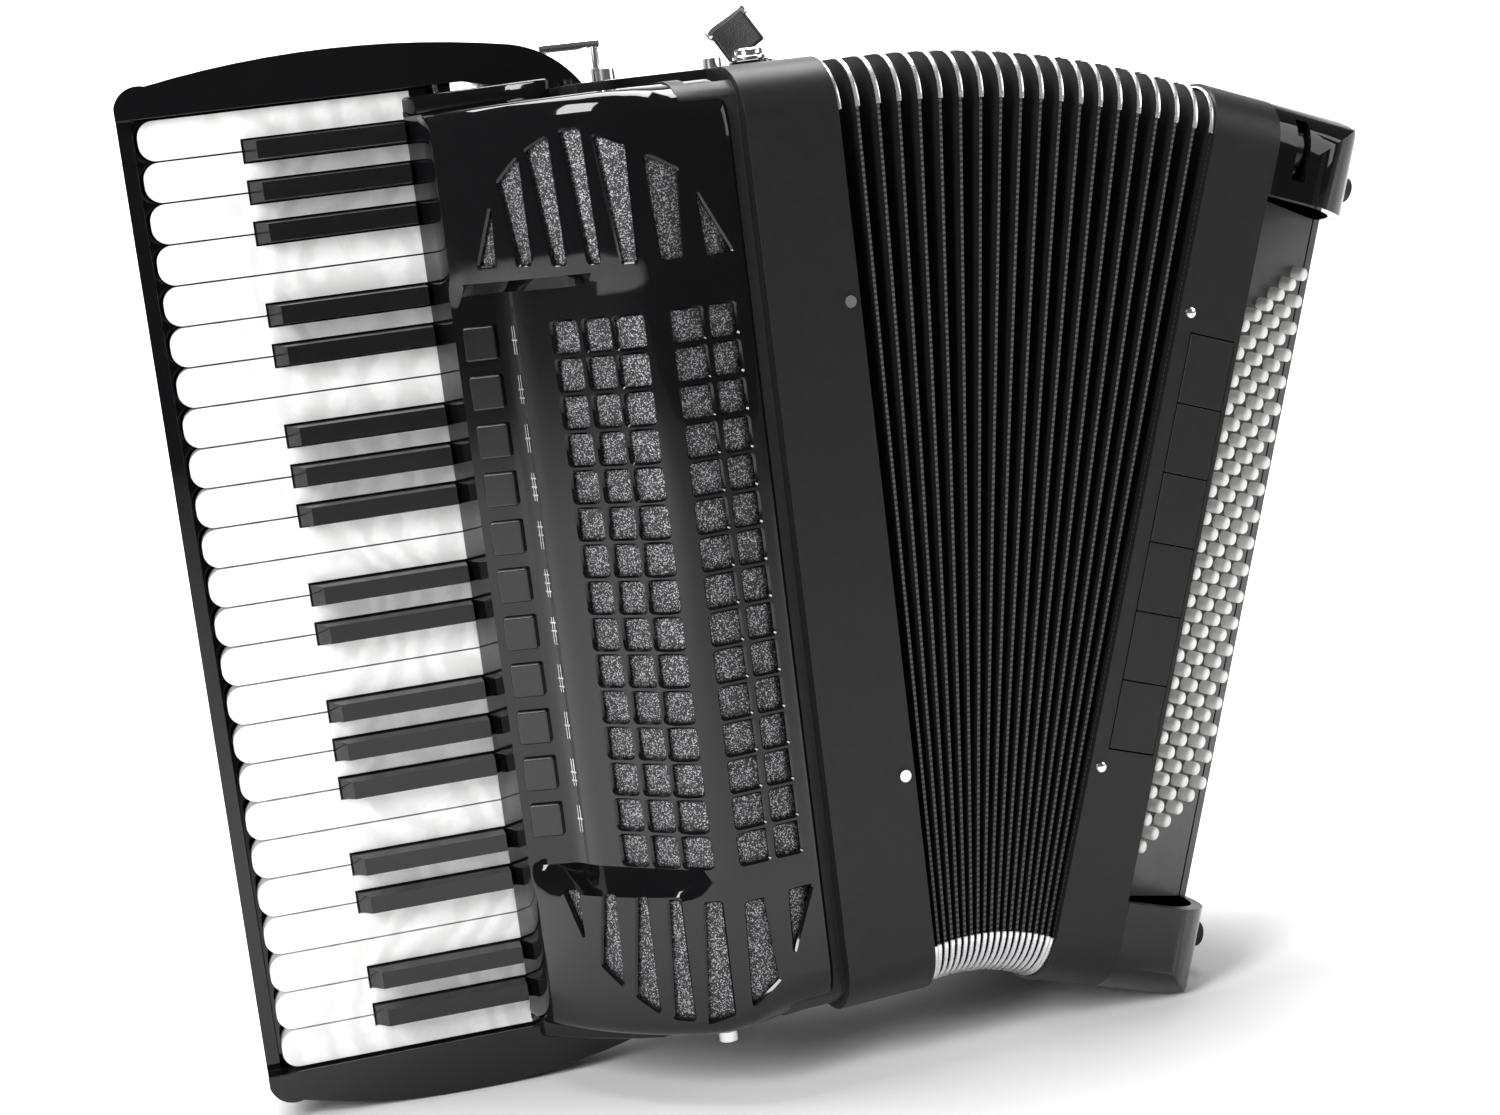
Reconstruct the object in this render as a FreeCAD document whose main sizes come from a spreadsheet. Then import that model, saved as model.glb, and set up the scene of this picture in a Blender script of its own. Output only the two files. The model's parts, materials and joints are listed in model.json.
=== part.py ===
# Piano accordion, 41 keys and 120 bass buttons, standing with its bellows fanned open.
#
# Treble frame: x = 0 is the bellows face of the treble case and the case lies at x < 0,
# y = 0 is the front of both cases and y grows to the player, z = 0 is the bottom of the case.
# Bass frame: the same, with x = 0 on the bellows face of the bass case and the case at x > 0.
# Key frame: x along the keys to their tips, y up out of the keys, z along the keyboard.
import FreeCAD, Part
import math
import os
import re
import Sketcher
from FreeCAD import Placement, Rotation, Vector

# Every size that can be set by itself, in millimetres and degrees.
SIZES = {
    # both cases
    "case_height": 472.0, "case_depth": 190.0, "case_wall": 8.0, "front_round": 27.0, "rear_round": 14.0,
    # treble case: full width, front band, and the bay in front where the key levers run
    "treble_width": 150.0, "band_width": 48.0, "bay_start": 115.0, "bay_rear": 42.0, "lever_room": 128.0,
    "soundboard_place": 78.0, "soundboard_thick": 8.0,
    # keyboard
    "key_pitch": 20.0, "key_gap": 0.8, "key_length": 132.0, "key_thick": 14.0, "key_tip_round": 8.0,
    "black_width": 10.5, "black_length": 83.0, "black_top_length": 77.0, "black_height": 10.5,
    "black_top_width": 8.8, "black_start": 5.0, "tail_width": 8.0, "tail_length": 22.0, "tail_top": 1.0,
    "keyboard_rise": 4.0, "keyboard_turn": 9.4, "keyboard_reach": 176.6, "keyboard_depth": 114.8,
    "axle_radius": 1.5, "axle_back": 14.0, "axle_drop": 9.0, "axle_play": 0.05,
    "lever_radius": 1.6, "lever_back": 18.0, "lever_drop": 6.0,
    "pallet_width": 13.2, "pallet_depth": 34.0, "pallet_thick": 5.0, "pallet_lift": 0.2,
    "white_pallet_row": 88.0, "black_pallet_row": 38.0, "tone_hole_width": 8.0, "tone_hole_depth": 24.0,
    # keyboard frame: board under the keys, lip beyond their tips, cheeks at both ends
    "bed_clearance": 8.0, "bed_thick": 18.0, "bed_start": 26.0, "lip_gap": 2.0, "lip_width": 7.0,
    "lip_drop": 5.0, "cheek_top": 5.0, "cheek_gap": 0.8, "cheek_shoulder": 16.0, "cheek_bulge": 24.0, "cheek_bulge_low": 28.0,
    "cheek_run": 85.0, "cheek_step": 62.0, "axle_seat": 6.0, "cheek_clear": 0.2,
    # grille
    "grille_wall": 3.0, "grille_start": 54.0, "grille_crest": 110.0, "grille_crest_depth": 8.0,
    "grille_slope_end": 150.0, "grille_slope_depth": 62.0, "register_shelf": 178.0,
    "register_shelf_depth": 88.0, "skirt_reach": 181.0, "skirt_depth": 113.0,
    "window": 15.4, "window_row_pitch": 18.0, "window_column_pitch": 18.4, "window_first": 13.4,
    "window_middle": 234.0, "slot_width": 9.0, "slot_start": 158.0, "slot_height": 60.0,
    "cloth_thick": 0.8, "cloth_gap": 0.3,
    # treble registers
    "register_pitch": 24.1, "register_width": 17.0, "register_length": 16.0, "register_thick": 8.0,
    "register_proud": 3.0, "register_play": 0.5,
    # reed blocks
    "block_width": 12.0, "block_height": 50.0, "block_margin": 16.0, "plate_thick": 1.6,
    "plate_length": 36.0, "plate_pitch": 20.0, "treble_block_pitch": 38.0, "treble_block_first": 34.0,
    "bass_block_first": 78.0, "bass_block_pitch": 62.0, "bass_block_height": 56.0,
    # bellows
    "bellows_closed": 61.0, "fan_angle": 19.24, "fold_inset": 3.0, "fold_depth": 24.0, "fold_chamfer": 16.0,
    "fold_skin": 1.2, "corner_width": 2.2, "corner_thick": 0.9, "corner_leg": 25.0, "corner_back": 40.0,
    # chrome fittings
    "bracket_left": 92.0, "bracket_span": 28.0, "bracket_depth": 156.0, "post_radius": 3.4,
    "post_height": 9.0, "loop_radius": 2.0, "bar_radius": 2.4, "loop_height": 13.0, "stud_place": 24.0, "stud_radius": 5.0,
    "stud_height": 6.0, "pin_radius": 3.0, "pin_height": 1.8, "pin_place": 6.0, "pin_spread": 118.0,
    "thumb_radius": 5.0, "thumb_height": 5.0, "thumb_place": 103.0, "thumb_depth": 34.0,
    # bass case
    "bass_width": 104.0, "bass_wall": 7.0, "bass_round": 30.0, "nose_round": 44.0, "end_thick": 6.0, "bass_nose": 38.0,
    "board_x": 42.0, "board_y": 17.5, "board_turn": 26.4, "board_thick": 5.0, "board_end": 50.0,
    "board_gap": 0.2,
    # bass buttons: six rows of twenty
    "button_radius": 3.5, "button_rise": 7.0, "button_stem": 9.0, "button_pitch": 14.6,
    "button_row_pitch": 9.6, "button_stagger": 7.1, "button_first": 78.0, "button_play": 0.25,
    "button_inset": 5.0,
    # bass registers
    "panel_pitch": 36.0, "panel_start": 9.0, "panel_width": 26.0, "panel_gap": 0.5, "panel_thick": 5.0,
    # air button, strap wheel, feet, strap
    "air_radius": 9.0, "air_rise": 8.0, "air_depth": 74.0, "air_height": 412.0, "air_flange": 11.5,
    "wheel_radius": 14.0, "wheel_thick": 5.0, "wheel_place": 54.0, "wheel_depth": 17.5,
    "wheel_height": 448.0, "wheel_axle": 2.0, "wheel_slot": 8.0, "lug_thick": 3.0,
    "foot_radius": 7.0, "foot_height": 13.0, "foot_margin": 30.0, "foot_front": 50.0, "foot_rear": 26.0,
    "strap_low": 50.0, "strap_high": 422.0, "strap_rise": 20.0, "strap_run": 40.0, "strap_thick": 3.0,
    "strap_front": 110.0, "strap_width": 60.0,
}
KEY_COUNT = 41
WHITE_KEYS = 24
FOLDS = 18
NOTES = ["c", "cs", "d", "ds", "e", "f", "fs", "g", "gs", "a", "as", "b"]
BLACK_NOTES = {"cs", "ds", "fs", "gs", "as"}
FIRST_NOTE = 5 + 12 * 3
REGISTERS = 11
BASS_PANELS = 6
BUTTON_ROWS = 6
BUTTON_COLUMNS = 20
WINDOW_ROWS = 15
ARCH_SLOTS = 7

doc = FreeCAD.newDocument("piano_accordion")
sheet = doc.addObject("Spreadsheet::Sheet", "Sizes")
for row, (alias, number) in enumerate(SIZES.items(), 1):
    sheet.set("A%d" % row, alias)
    sheet.set("B%d" % row, str(number))
    sheet.setAlias("B%d" % row, alias)
doc.recompute()


def bound(text):
    """An expression written with plain size names, as the document's expression engine wants it."""
    return re.sub(r"[a-z][a-z_]+", lambda m: "Sizes." + m.group(0) if m.group(0) in SIZES else m.group(0), str(text))


def number(text):
    """The present value of an expression in size names."""
    return float(sheet.evalExpression(bound(text)))


def bind(thing, **places):
    for path, text in places.items():
        thing.setExpression(path.replace("__", "."), bound(text))


def put(thing, x=0, y=0, z=0, turn=None):
    """Places a primitive: three expressions, and a fixed rotation."""
    thing.Placement = Placement(Vector(), turn or Rotation())
    bind(thing, Placement__Base__x=x, Placement__Base__y=y, Placement__Base__z=z)
    return thing


def box(name, x, y, z, length, width, height, turn=None):
    thing = doc.addObject("Part::Box", name)
    bind(thing, Length=length, Width=width, Height=height)
    return put(thing, x, y, z, turn)


ALONG_X = Rotation(Vector(0, 1, 0), 90)
ALONG_Y = Rotation(Vector(1, 0, 0), -90)
ALONG_Z = Rotation()


def rod(name, x, y, z, radius, length, turn=ALONG_Z):
    thing = doc.addObject("Part::Cylinder", name)
    bind(thing, Radius=radius, Height=length)
    return put(thing, x, y, z, turn)


def fused(name, pieces):
    thing = doc.addObject("Part::MultiFuse", name)
    thing.Shapes = pieces
    return thing


def gathered(name, pieces):
    """Separate solids that share one node."""
    thing = doc.addObject("Part::Compound", name)
    thing.Links = pieces
    return thing


def cut(name, base, tool):
    thing = doc.addObject("Part::Cut", name)
    thing.Base = base
    thing.Tool = tool
    return thing


def common(name, pieces):
    thing = doc.addObject("Part::MultiCommon", name)
    thing.Shapes = pieces
    return thing


def made(name, shape):
    thing = doc.addObject("Part::Feature", name)
    thing.Shape = shape
    return thing


def rounded(name, base, choose):
    """Fillets the edges for which choose(edge) gives a radius."""
    doc.recompute()
    thing = doc.addObject("Part::Fillet", name)
    thing.Base = base
    radii = [(index, choose(edge)) for index, edge in enumerate(base.Shape.Edges, 1)]
    thing.Edges = [(index, radius, radius) for index, radius in radii if radius]
    return thing


def padded(name, role, outline, length, start=("0", "0", "0")):
    """A body padded from a closed outline on one of its origin planes; every corner is bound."""
    body = doc.addObject("PartDesign::Body", name)
    plane = next(f for f in body.Origin.OriginFeatures if f.Role == role)
    sketch = body.newObject("Sketcher::SketchObject", name + "_outline")
    sketch.AttachmentSupport = [(plane, "")]
    sketch.MapMode = "FlatFace"
    corners = [Vector(number(a), number(b), 0) for a, b in outline]
    for here, there in zip(corners, corners[1:] + corners[:1]):
        sketch.addGeometry(Part.LineSegment(here, there), False)
    for i in range(len(corners)):
        sketch.addConstraint(Sketcher.Constraint("Coincident", i, 2, (i + 1) % len(corners), 1))
    for i, (a, b) in enumerate(outline):
        along = sketch.addConstraint(Sketcher.Constraint("DistanceX", -1, 1, i, 1, corners[i].x))
        sketch.setExpression("Constraints[%d]" % along, bound(a))
        up = sketch.addConstraint(Sketcher.Constraint("DistanceY", -1, 1, i, 1, corners[i].y))
        sketch.setExpression("Constraints[%d]" % up, bound(b))
    pad = body.newObject("PartDesign::Pad", name + "_pad")
    pad.Profile = sketch
    pad.Reversed = role == "XZ_Plane"
    bind(pad, Length=length)
    put(body, *start)
    return body


def along(edge, axis):
    """True for a straight edge parallel to an axis vector."""
    if edge.Curve.TypeId != "Part::GeomLine":
        return False
    ends = edge.Vertexes[-1].Point - edge.Vertexes[0].Point
    return ends.cross(axis).Length < 1e-6 * ends.Length


def case_block(name, left, right, inset):
    """A case's outer or inner block: a box whose long edges along x are round, front and rear."""
    block = box(name + "_block", left, inset, inset, "%s-(%s)" % (right, left),
                "case_depth-2*(%s)" % inset, "case_height-2*(%s)" % inset)
    middle = number("case_depth/2")

    def radius(edge):
        if not along(edge, Vector(1, 0, 0)):
            return None
        wanted = "front_round" if edge.CenterOfMass.y < middle else "rear_round"
        return max(number("%s-(%s)" % (wanted, inset)), 0.5)

    return rounded(name, block, radius)


# Where the key frame and the bass frame stand in the treble frame.
key_frame = Placement(Vector(-number("keyboard_reach"), number("keyboard_depth"), 0),
                      Rotation(Vector(0, 0, 1), 180 - number("keyboard_turn")))
pivot = Vector(number("bellows_closed/2"), 0, 0)
fan = Rotation(Vector(0, 1, 0), number("fan_angle"))
bass_frame = (Placement(pivot, fan)
              .multiply(Placement(Vector(number("bellows_closed"), 0, 0) - pivot, Rotation())))
key_low = "(case_height/2+keyboard_rise-%d*key_pitch)" % (WHITE_KEYS // 2)
key_high = "(case_height/2+keyboard_rise+%d*key_pitch)" % (WHITE_KEYS // 2)


# ---------------------------------------------------------------- treble case
def treble_case():
    """Band, top, bottom, rear and left walls, with the soundboard that carries the reed blocks."""
    outer = case_block("treble_outer", "-treble_width", "0", "0")
    inner = case_block("treble_inner", "-(treble_width-case_wall)", "1", "case_wall")
    shell = cut("treble_shell", outer, inner)
    bay = padded("treble_bay", "XY_Plane", [
        ("-band_width", "-10"), ("-band_width", "bay_rear"), ("-bay_start", "bay_rear"),
        ("-bay_start", "lever_room"), ("-treble_width-20", "lever_room"), ("-treble_width-20", "-10")],
        "case_height+20", ("0", "0", "-10"))
    open_shell = cut("treble_open_shell", shell, bay)
    soundboard = box("soundboard", "-soundboard_place", "case_wall", "case_wall/2", "soundboard_thick",
                     "case_depth-1.5*case_wall", "case_height-case_wall")
    baffle = box("baffle", "-(soundboard_place-soundboard_thick)", "case_wall", "case_wall/2",
                 "soundboard_place-soundboard_thick-band_width+0.5", "case_wall", "case_height-case_wall")
    trimmed = common("soundboard_trimmed", [
        fused("soundboard_fused", [soundboard, baffle]),
        case_block("soundboard_limit", "-soundboard_place-1", "0", "case_wall/2")])
    walls = fused("treble_walls", [open_shell, trimmed])
    holes = gathered("tone_holes", [
        box("tone_hole_%d" % key, "-soundboard_place-1", "%s_pallet_row-tone_hole_depth/2" % kind,
            "%s-tone_hole_width/2" % pallet_place(middle), "soundboard_thick+2", "tone_hole_depth",
            "tone_hole_width") for key, kind, middle in KEYS])
    return cut("treble_case", walls, holes)


# ---------------------------------------------------------------- keys
def pallet_place(middle):
    """Height of a key's pallet: the levers close up so that the last pallet clears the case wall."""
    squeeze = "((case_height/2-case_wall-pallet_width/2-2)/(%d*key_pitch-key_pitch/2))" % (WHITE_KEYS // 2)
    return "(case_height/2+(%s-case_height/2-keyboard_rise)*%s)" % (middle, squeeze)


def key_list():
    """(number, kind, height of its middle) of each key, low notes at the top of the keyboard."""
    keys = []
    whites = 0
    for key in range(KEY_COUNT):
        note = NOTES[(FIRST_NOTE + key) % 12]
        if note in BLACK_NOTES:
            keys.append((key, "black", "(%s-%d*key_pitch)" % (key_high, whites)))
        else:
            keys.append((key, "white", "(%s-%g*key_pitch)" % (key_high, whites + 0.5)))
            whites += 1
    return keys


KEYS = key_list()


def key_name(key):
    note = FIRST_NOTE + key
    return "key_%02d_%s%d" % (key + 1, NOTES[note % 12], note // 12)


def key_body(key, kind, middle):
    """The key itself, in the key frame, with the tail that the axle goes through."""
    name = key_name(key)
    tail = box(name + "_tail", "-tail_length", "-key_thick", middle + "-tail_width/2",
               "tail_length+%s" % ("0.1" if kind == "white" else "black_start+0.1"),
               "key_thick-tail_top", "tail_width")
    if kind == "white":
        block = box(name + "_block", "0", "-key_thick", middle + "-key_pitch/2+key_gap/2",
                    "key_length", "key_thick", "key_pitch-key_gap")
        tip = number("key_length")

        def radius(edge):
            at_tip = abs(edge.CenterOfMass.x - tip) < 0.01
            return number("key_tip_round") if at_tip and along(edge, Vector(0, 1, 0)) else None

        top = rounded(name + "_tip", block, radius)
        notches = []
        for side in (-1, 1):
            if key + (-side) in range(KEY_COUNT) and KEYS[key - side][1] == "black":
                low = middle + ("-key_pitch/2-1" if side < 0 else "+key_pitch/2-black_width/2-key_gap")
                notches.append(box(name + "_notch_%d" % (side + 1), "-1", "-key_thick-1", low,
                                   "black_length+key_gap+1", "key_thick+2", "black_width/2+key_gap+1"))
        if notches:
            top = cut(name + "_notched", top, gathered(name + "_notches", notches))
    else:
        base = box(name + "_base", "black_start", "-key_thick", middle + "-black_width/2",
                   "black_length-black_start", "key_thick+0.1", "black_width")
        crown = doc.addObject("Part::Wedge", name + "_crown")
        bind(crown, Xmin="black_start", Xmax="black_length", Ymin="0", Ymax="black_height",
             Zmin=middle + "-black_width/2", Zmax=middle + "+black_width/2", X2min="black_start",
             X2max="black_top_length", Z2min=middle + "-black_top_width/2",
             Z2max=middle + "+black_top_width/2")
        top = fused(name + "_top", [base, crown])
    whole = fused(name + "_whole", [top, tail])
    bore = rod(name + "_bore", "-axle_back", "-axle_drop", middle + "-key_pitch",
               "axle_radius+axle_play", "2*key_pitch")
    body = cut(name + "_body", whole, bore)
    body.Placement = key_frame
    return body


def key(number_, kind, middle):
    """A key with its lever and the pallet that covers its tone holes."""
    name = key_name(number_)
    body = key_body(number_, kind, middle)
    pallet = box(name + "_pallet", "-soundboard_place-pallet_lift-pallet_thick",
                 "%s_pallet_row-pallet_depth/2" % kind, pallet_place(middle) + "-pallet_width/2",
                 "pallet_thick", "pallet_depth", "pallet_width")
    start = key_frame.multVec(Vector(-number("lever_back"), -number("lever_drop"), number(middle)))
    end = Vector(-number("soundboard_place+pallet_lift+pallet_thick/2"),
                 number("%s_pallet_row" % kind), number(pallet_place(middle)))
    lever = doc.addObject("Part::Cylinder", name + "_lever")
    bind(lever, Radius="lever_radius")
    lever.Height = (end - start).Length
    lever.Placement = Placement(start, Rotation(Vector(0, 0, 1), end - start))
    return fused(name, [body, lever, pallet])


def key_axle():
    """Steel rod through the tails of all the keys; placed with the key frame."""
    return gathered("key_axle", [rod("key_axle_rod", "-axle_back", "-axle_drop", key_low + "-axle_seat+0.3",
                                     "axle_radius", "%s-%s+2*axle_seat-0.6" % (key_high, key_low))])


# ---------------------------------------------------------------- keyboard frame
def cheek(name, up, key_edge, case_face, bulge):
    """An end cheek: a long arc over the keys' end that falls to the case face, with its lever room."""
    def at(x, height):
        return Vector(x, 0, height)

    def edge(gap):
        return number(key_edge) + up * gap

    outer = number("key_length+lip_gap+lip_width")
    run, step, start = number("cheek_run"), number("cheek_step"), number("bed_start")
    gap, shoulder = number("cheek_gap"), number("cheek_shoulder")
    corner = number("key_length-lip_width")
    case_edge = number(case_face) + up * number("cheek_clear")
    beyond_case = up * (case_edge - number(key_edge)) + number("cheek_top")
    bulge += max(shoulder, beyond_case) - shoulder
    shoulder = max(shoulder, beyond_case)
    half = number("lip_width")
    crest_left = -number("bed_start") * 2
    points = [at(outer, edge(gap)), at(outer, edge(half)), at(corner, edge(shoulder)),
              at(crest_left, edge(shoulder)), at(-run, case_edge + up * 1.5), at(-run, case_edge),
              at(-step, case_edge), at(-start, edge(gap))]
    nose = at(outer - 3.5, edge((half + shoulder) / 2 + 1.5))
    crown = at((corner + crest_left) / 2, edge(bulge))
    fall = at((crest_left - run) / 2 - 2, (edge(shoulder) + case_edge) / 2 + up * 4)
    edges = [Part.LineSegment(points[0], points[1]).toShape(),
             Part.Arc(points[1], nose, points[2]).toShape(),
             Part.Arc(points[2], crown, points[3]).toShape(),
             Part.Arc(points[3], fall, points[4]).toShape()]
    edges += [Part.LineSegment(a, b).toShape() for a, b in zip(points[4:], points[5:] + points[:1])]
    face = Part.Face(Part.Wire(edges))
    face.translate(Vector(0, -number("key_thick+bed_clearance+bed_thick"), 0))
    deep = number("key_thick+bed_clearance+bed_thick+cheek_top")
    return made(name, face.extrude(Vector(0, deep, 0)))


def keyboard_frame():
    bed = box("key_bed_board", "-bed_start", "-(key_thick+bed_clearance+bed_thick)",
              key_low + "-cheek_gap", "bed_start+key_length+lip_gap+lip_width", "bed_thick",
              "%s-%s+2*cheek_gap" % (key_high, key_low))
    bed_placed = gathered("key_bed_placed", [bed])
    bed_placed.Placement = key_frame
    beyond = box("behind_case_side", "-treble_width-0.05", "-100", "-100", "treble_width", "3*case_depth",
                 "2*case_height")
    bed_flush = cut("key_bed", bed_placed, beyond)
    lip = box("key_lip", "key_length+lip_gap", "-(key_thick+bed_clearance+1)", key_low + "-cheek_gap",
              "lip_width", "key_thick+bed_clearance+1-lip_drop",
              "%s-%s+2*cheek_gap" % (key_high, key_low))
    top = cheek("top_cheek", 1, key_high, "case_height", number("cheek_bulge"))
    bottom = cheek("bottom_cheek", -1, key_low, "0", number("cheek_bulge_low"))
    ends = gathered("key_frame_ends", [fused("key_frame_ends_fused", [lip, top, bottom])])
    ends.Placement = key_frame
    whole = fused("keyboard_frame_whole", [bed_flush, ends])
    seat = rod("axle_seats", "-axle_back", "-axle_drop", key_low + "-axle_seat", "axle_radius+axle_play",
               "%s-%s+2*axle_seat" % (key_high, key_low))
    seat_placed = gathered("axle_seats_placed", [seat])
    seat_placed.Placement = key_frame
    return cut("keyboard_frame", whole, seat_placed)


# ---------------------------------------------------------------- grille
def grille_profile():
    """Plan of the grille's outer face: edge by the band, crest, slope, register shelf, skirt."""
    return [Vector(-number("grille_start"), 5, 0), Vector(-number("grille_start+6"), 2, 0),
            Vector(-number("grille_crest-14"), 3, 0),
            Vector(-number("grille_crest"), number("grille_crest_depth"), 0),
            Vector(-number("grille_slope_end"), number("grille_slope_depth"), 0),
            Vector(-number("grille_slope_end+6"), number("grille_slope_depth+14"), 0),
            Vector(-number("register_shelf"), number("register_shelf_depth"), 0),
            Vector(-number("skirt_reach"), number("skirt_depth"), 0)]


def moved_inward(line, distance):
    """The same open line moved to its inner side, with mitred corners."""
    normals = []
    for a, b in zip(line, line[1:]):
        run = (b - a).normalize()
        normals.append(Vector(run.y, -run.x, 0))
    moved = [line[0] + normals[0] * distance]
    for i in range(1, len(line) - 1):
        both = (normals[i - 1] + normals[i]).normalize()
        moved.append(line[i] + both * (distance / both.dot(normals[i])))
    moved.append(line[-1] + normals[-1] * distance)
    return moved


def prism(points, low, high):
    face = Part.Face(Part.makePolygon(points + points[:1]))
    face.translate(Vector(0, 0, low))
    return face.extrude(Vector(0, 0, high - low))


def slope_turn():
    """Turn about z that lays a box's x along the grille's slope and its y out of it."""
    return Rotation(Vector(0, 0, 1), math.degrees(math.atan2(
        number("grille_slope_depth-grille_crest_depth"), -number("grille_slope_end-grille_crest"))))


def shelf_turn():
    return Rotation(Vector(0, 0, 1), math.degrees(math.atan2(
        number("register_shelf_depth-grille_slope_depth-14"), -number("register_shelf-grille_slope_end-6"))))


def on_slope(distance):
    """Point of the slope's face at a distance from the crest."""
    crest = Vector(-number("grille_crest"), number("grille_crest_depth"), 0)
    return crest + slope_turn().multVec(Vector(distance, 0, 0))


def grille_openings():
    """Fifteen rows of five windows and an arch of seven slots at each end."""
    tools = []
    size = number("window")
    deep = number("3*grille_wall")

    def slit(point, turn, width, low, high):
        block = Part.makeBox(width, 2 * deep, high - low, Vector(-width / 2, -deep, 0))
        block.Placement = Placement(point + Vector(0, 0, low), turn)
        tools.append(block)

    front = Rotation(Vector(0, 0, 1), 180)
    columns = [(on_slope(number("window_first+%d*window_column_pitch" % i)), slope_turn()) for i in range(3)]
    columns += [(Vector(-number("grille_crest-16"), 3, 0), front),
                (Vector(-number("grille_start+19"), 3, 0), front)]
    for row in range(WINDOW_ROWS):
        middle = number("window_middle") + (row - (WINDOW_ROWS - 1) / 2) * number("window_row_pitch")
        for point, turn in columns:
            slit(point, turn, size, middle - size / 2, middle + size / 2)
    for i in range(ARCH_SLOTS):
        place = number("window_first-10") + i * number("window_column_pitch-4.5")
        if i < 4:
            point, turn = on_slope(place), slope_turn()
        else:
            point, turn = Vector(-number("grille_crest-10") + (i - 4) * number("slot_width+4"), 3, 0), front
        arch = number("slot_height") * math.sqrt(1 - ((i - 3) / 4.2) ** 2)
        start = number("slot_start")
        for up in (-1, 1):
            ends = sorted((number("window_middle") + up * start, number("window_middle") + up * (start + arch)))
            slit(point, turn, number("slot_width"), *ends)
    return tools


def register_boxes(name, play):
    """The register tabs, or with play their openings, on the shelf beside the keys."""
    start = Vector(-number("grille_slope_end+6"), number("grille_slope_depth+14"), 0)
    end = Vector(-number("register_shelf"), number("register_shelf_depth"), 0)
    turn = shelf_turn()
    tabs = []
    for i in range(REGISTERS):
        middle = number("window_middle") + (i - (REGISTERS - 1) / 2) * number("register_pitch")
        tab = doc.addObject("Part::Box", "%s_%02d" % (name, i + 1))
        bind(tab, Length="register_length+2*%g" % play, Width="register_thick+2*%g" % play,
             Height="register_width+2*%g" % play)
        corner = Vector(-number("register_length") / 2 - play,
                        number("register_proud-register_thick") - play, -number("register_width") / 2 - play)
        tab.Placement = Placement((start + end) * 0.5 + Vector(0, 0, middle) + turn.multVec(corner), turn)
        tabs.append(tab)
    return tabs


def grille_cover():
    line = grille_profile()
    back = [Vector(-number("skirt_reach-3"), number("skirt_depth"), 0),
            Vector(-number("skirt_reach-9"), number("skirt_depth-15"), 0),
            Vector(-number("bay_start+0.5"), number("bay_rear+18"), 0),
            Vector(-number("bay_start+0.5"), number("bay_rear-0.5"), 0),
            Vector(-number("grille_start"), number("bay_rear-0.5"), 0)]
    outside = made("grille_outside", prism(line + back, 0, number("case_height")))
    wall = number("grille_wall")
    inner = moved_inward(line, wall)
    open_side = -number("grille_start-1")
    deep = [Vector(inner[-1].x, number("lever_room+30"), 0), Vector(open_side, number("lever_room+30"), 0),
            Vector(open_side, inner[0].y, 0)]
    inside = made("grille_inside", prism(inner + deep, wall, number("case_height") - wall))
    limit = case_block("grille_limit", "-skirt_reach-5", "0", "0")
    hollow = case_block("grille_hollow", "-skirt_reach-6", "1", "grille_wall")
    shell = cut("grille_shell", common("grille_outer", [outside, limit]),
                common("grille_inner", [inside, hollow]))
    windows = made("grille_windows", Part.makeCompound(grille_openings()))
    tabs = gathered("register_openings", register_boxes("register_opening", number("register_play")))
    return cut("grille_cover", cut("grille_pierced", shell, windows), tabs)


def grille_mesh():
    """Glitter cloth behind the windows."""
    gap = number("grille_wall+cloth_gap")
    near = moved_inward(grille_profile(), gap)[1:5]
    far = moved_inward(grille_profile(), gap + number("cloth_thick"))[1:5]
    margin = number("front_round+grille_wall")
    return made("grille_mesh", prism(near + far[::-1], margin, number("case_height") - margin))


# ---------------------------------------------------------------- registers, reeds, fittings
def reed_blocks(name, x, height, first, pitch, count, low, high):
    """Wooden blocks with a row of aluminium reed plates on both faces."""
    pieces = []
    for b in range(count):
        middle = "(%s+%d*%s)" % (first, b, pitch)
        pieces.append(box("%s_%d" % (name, b + 1), x, middle + "-block_width/2", low,
                          height, "block_width", "%s-(%s)" % (high, low)))
        plates = int((number(high) - number(low) - number("plate_pitch") / 2) // number("plate_pitch"))
        for p in range(plates):
            z = "%s+(%s-(%s)-%d*plate_pitch)/2+%d*plate_pitch+1" % (low, high, low, plates, p)
            for side, y in (("front", "-block_width/2-plate_thick"), ("rear", "+block_width/2")):
                pieces.append(box("%s_plate_%d_%d_%s" % (name, b + 1, p + 1, side), "%s+6" % x, middle + y, z,
                                  "plate_length", "plate_thick", "plate_pitch-2"))
    return gathered(name, pieces)


def strap_bracket(name, up, face):
    """Two posts and a wire loop for a shoulder strap."""
    pieces = []
    for i in range(2):
        x = "-bracket_left+%d*bracket_span" % i
        base = "%s%s" % (face, "" if up > 0 else "-post_height")
        wire = "%s%s" % (face, "+post_height" if up > 0 else "-post_height-loop_height")
        pieces.append(rod("%s_post_%d" % (name, i), x, "bracket_depth", base, "post_radius", "post_height"))
        pieces.append(rod("%s_leg_%d" % (name, i), x, "bracket_depth", wire, "loop_radius", "loop_height"))
    bar = "%s%s" % (face, "+post_height+loop_height" if up > 0 else "-post_height-loop_height")
    pieces.append(rod("%s_bar" % name, "-bracket_left-bar_radius", "bracket_depth",
                      bar, "bar_radius", "bracket_span+2*bar_radius", ALONG_X))
    return fused(name, pieces)


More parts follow.
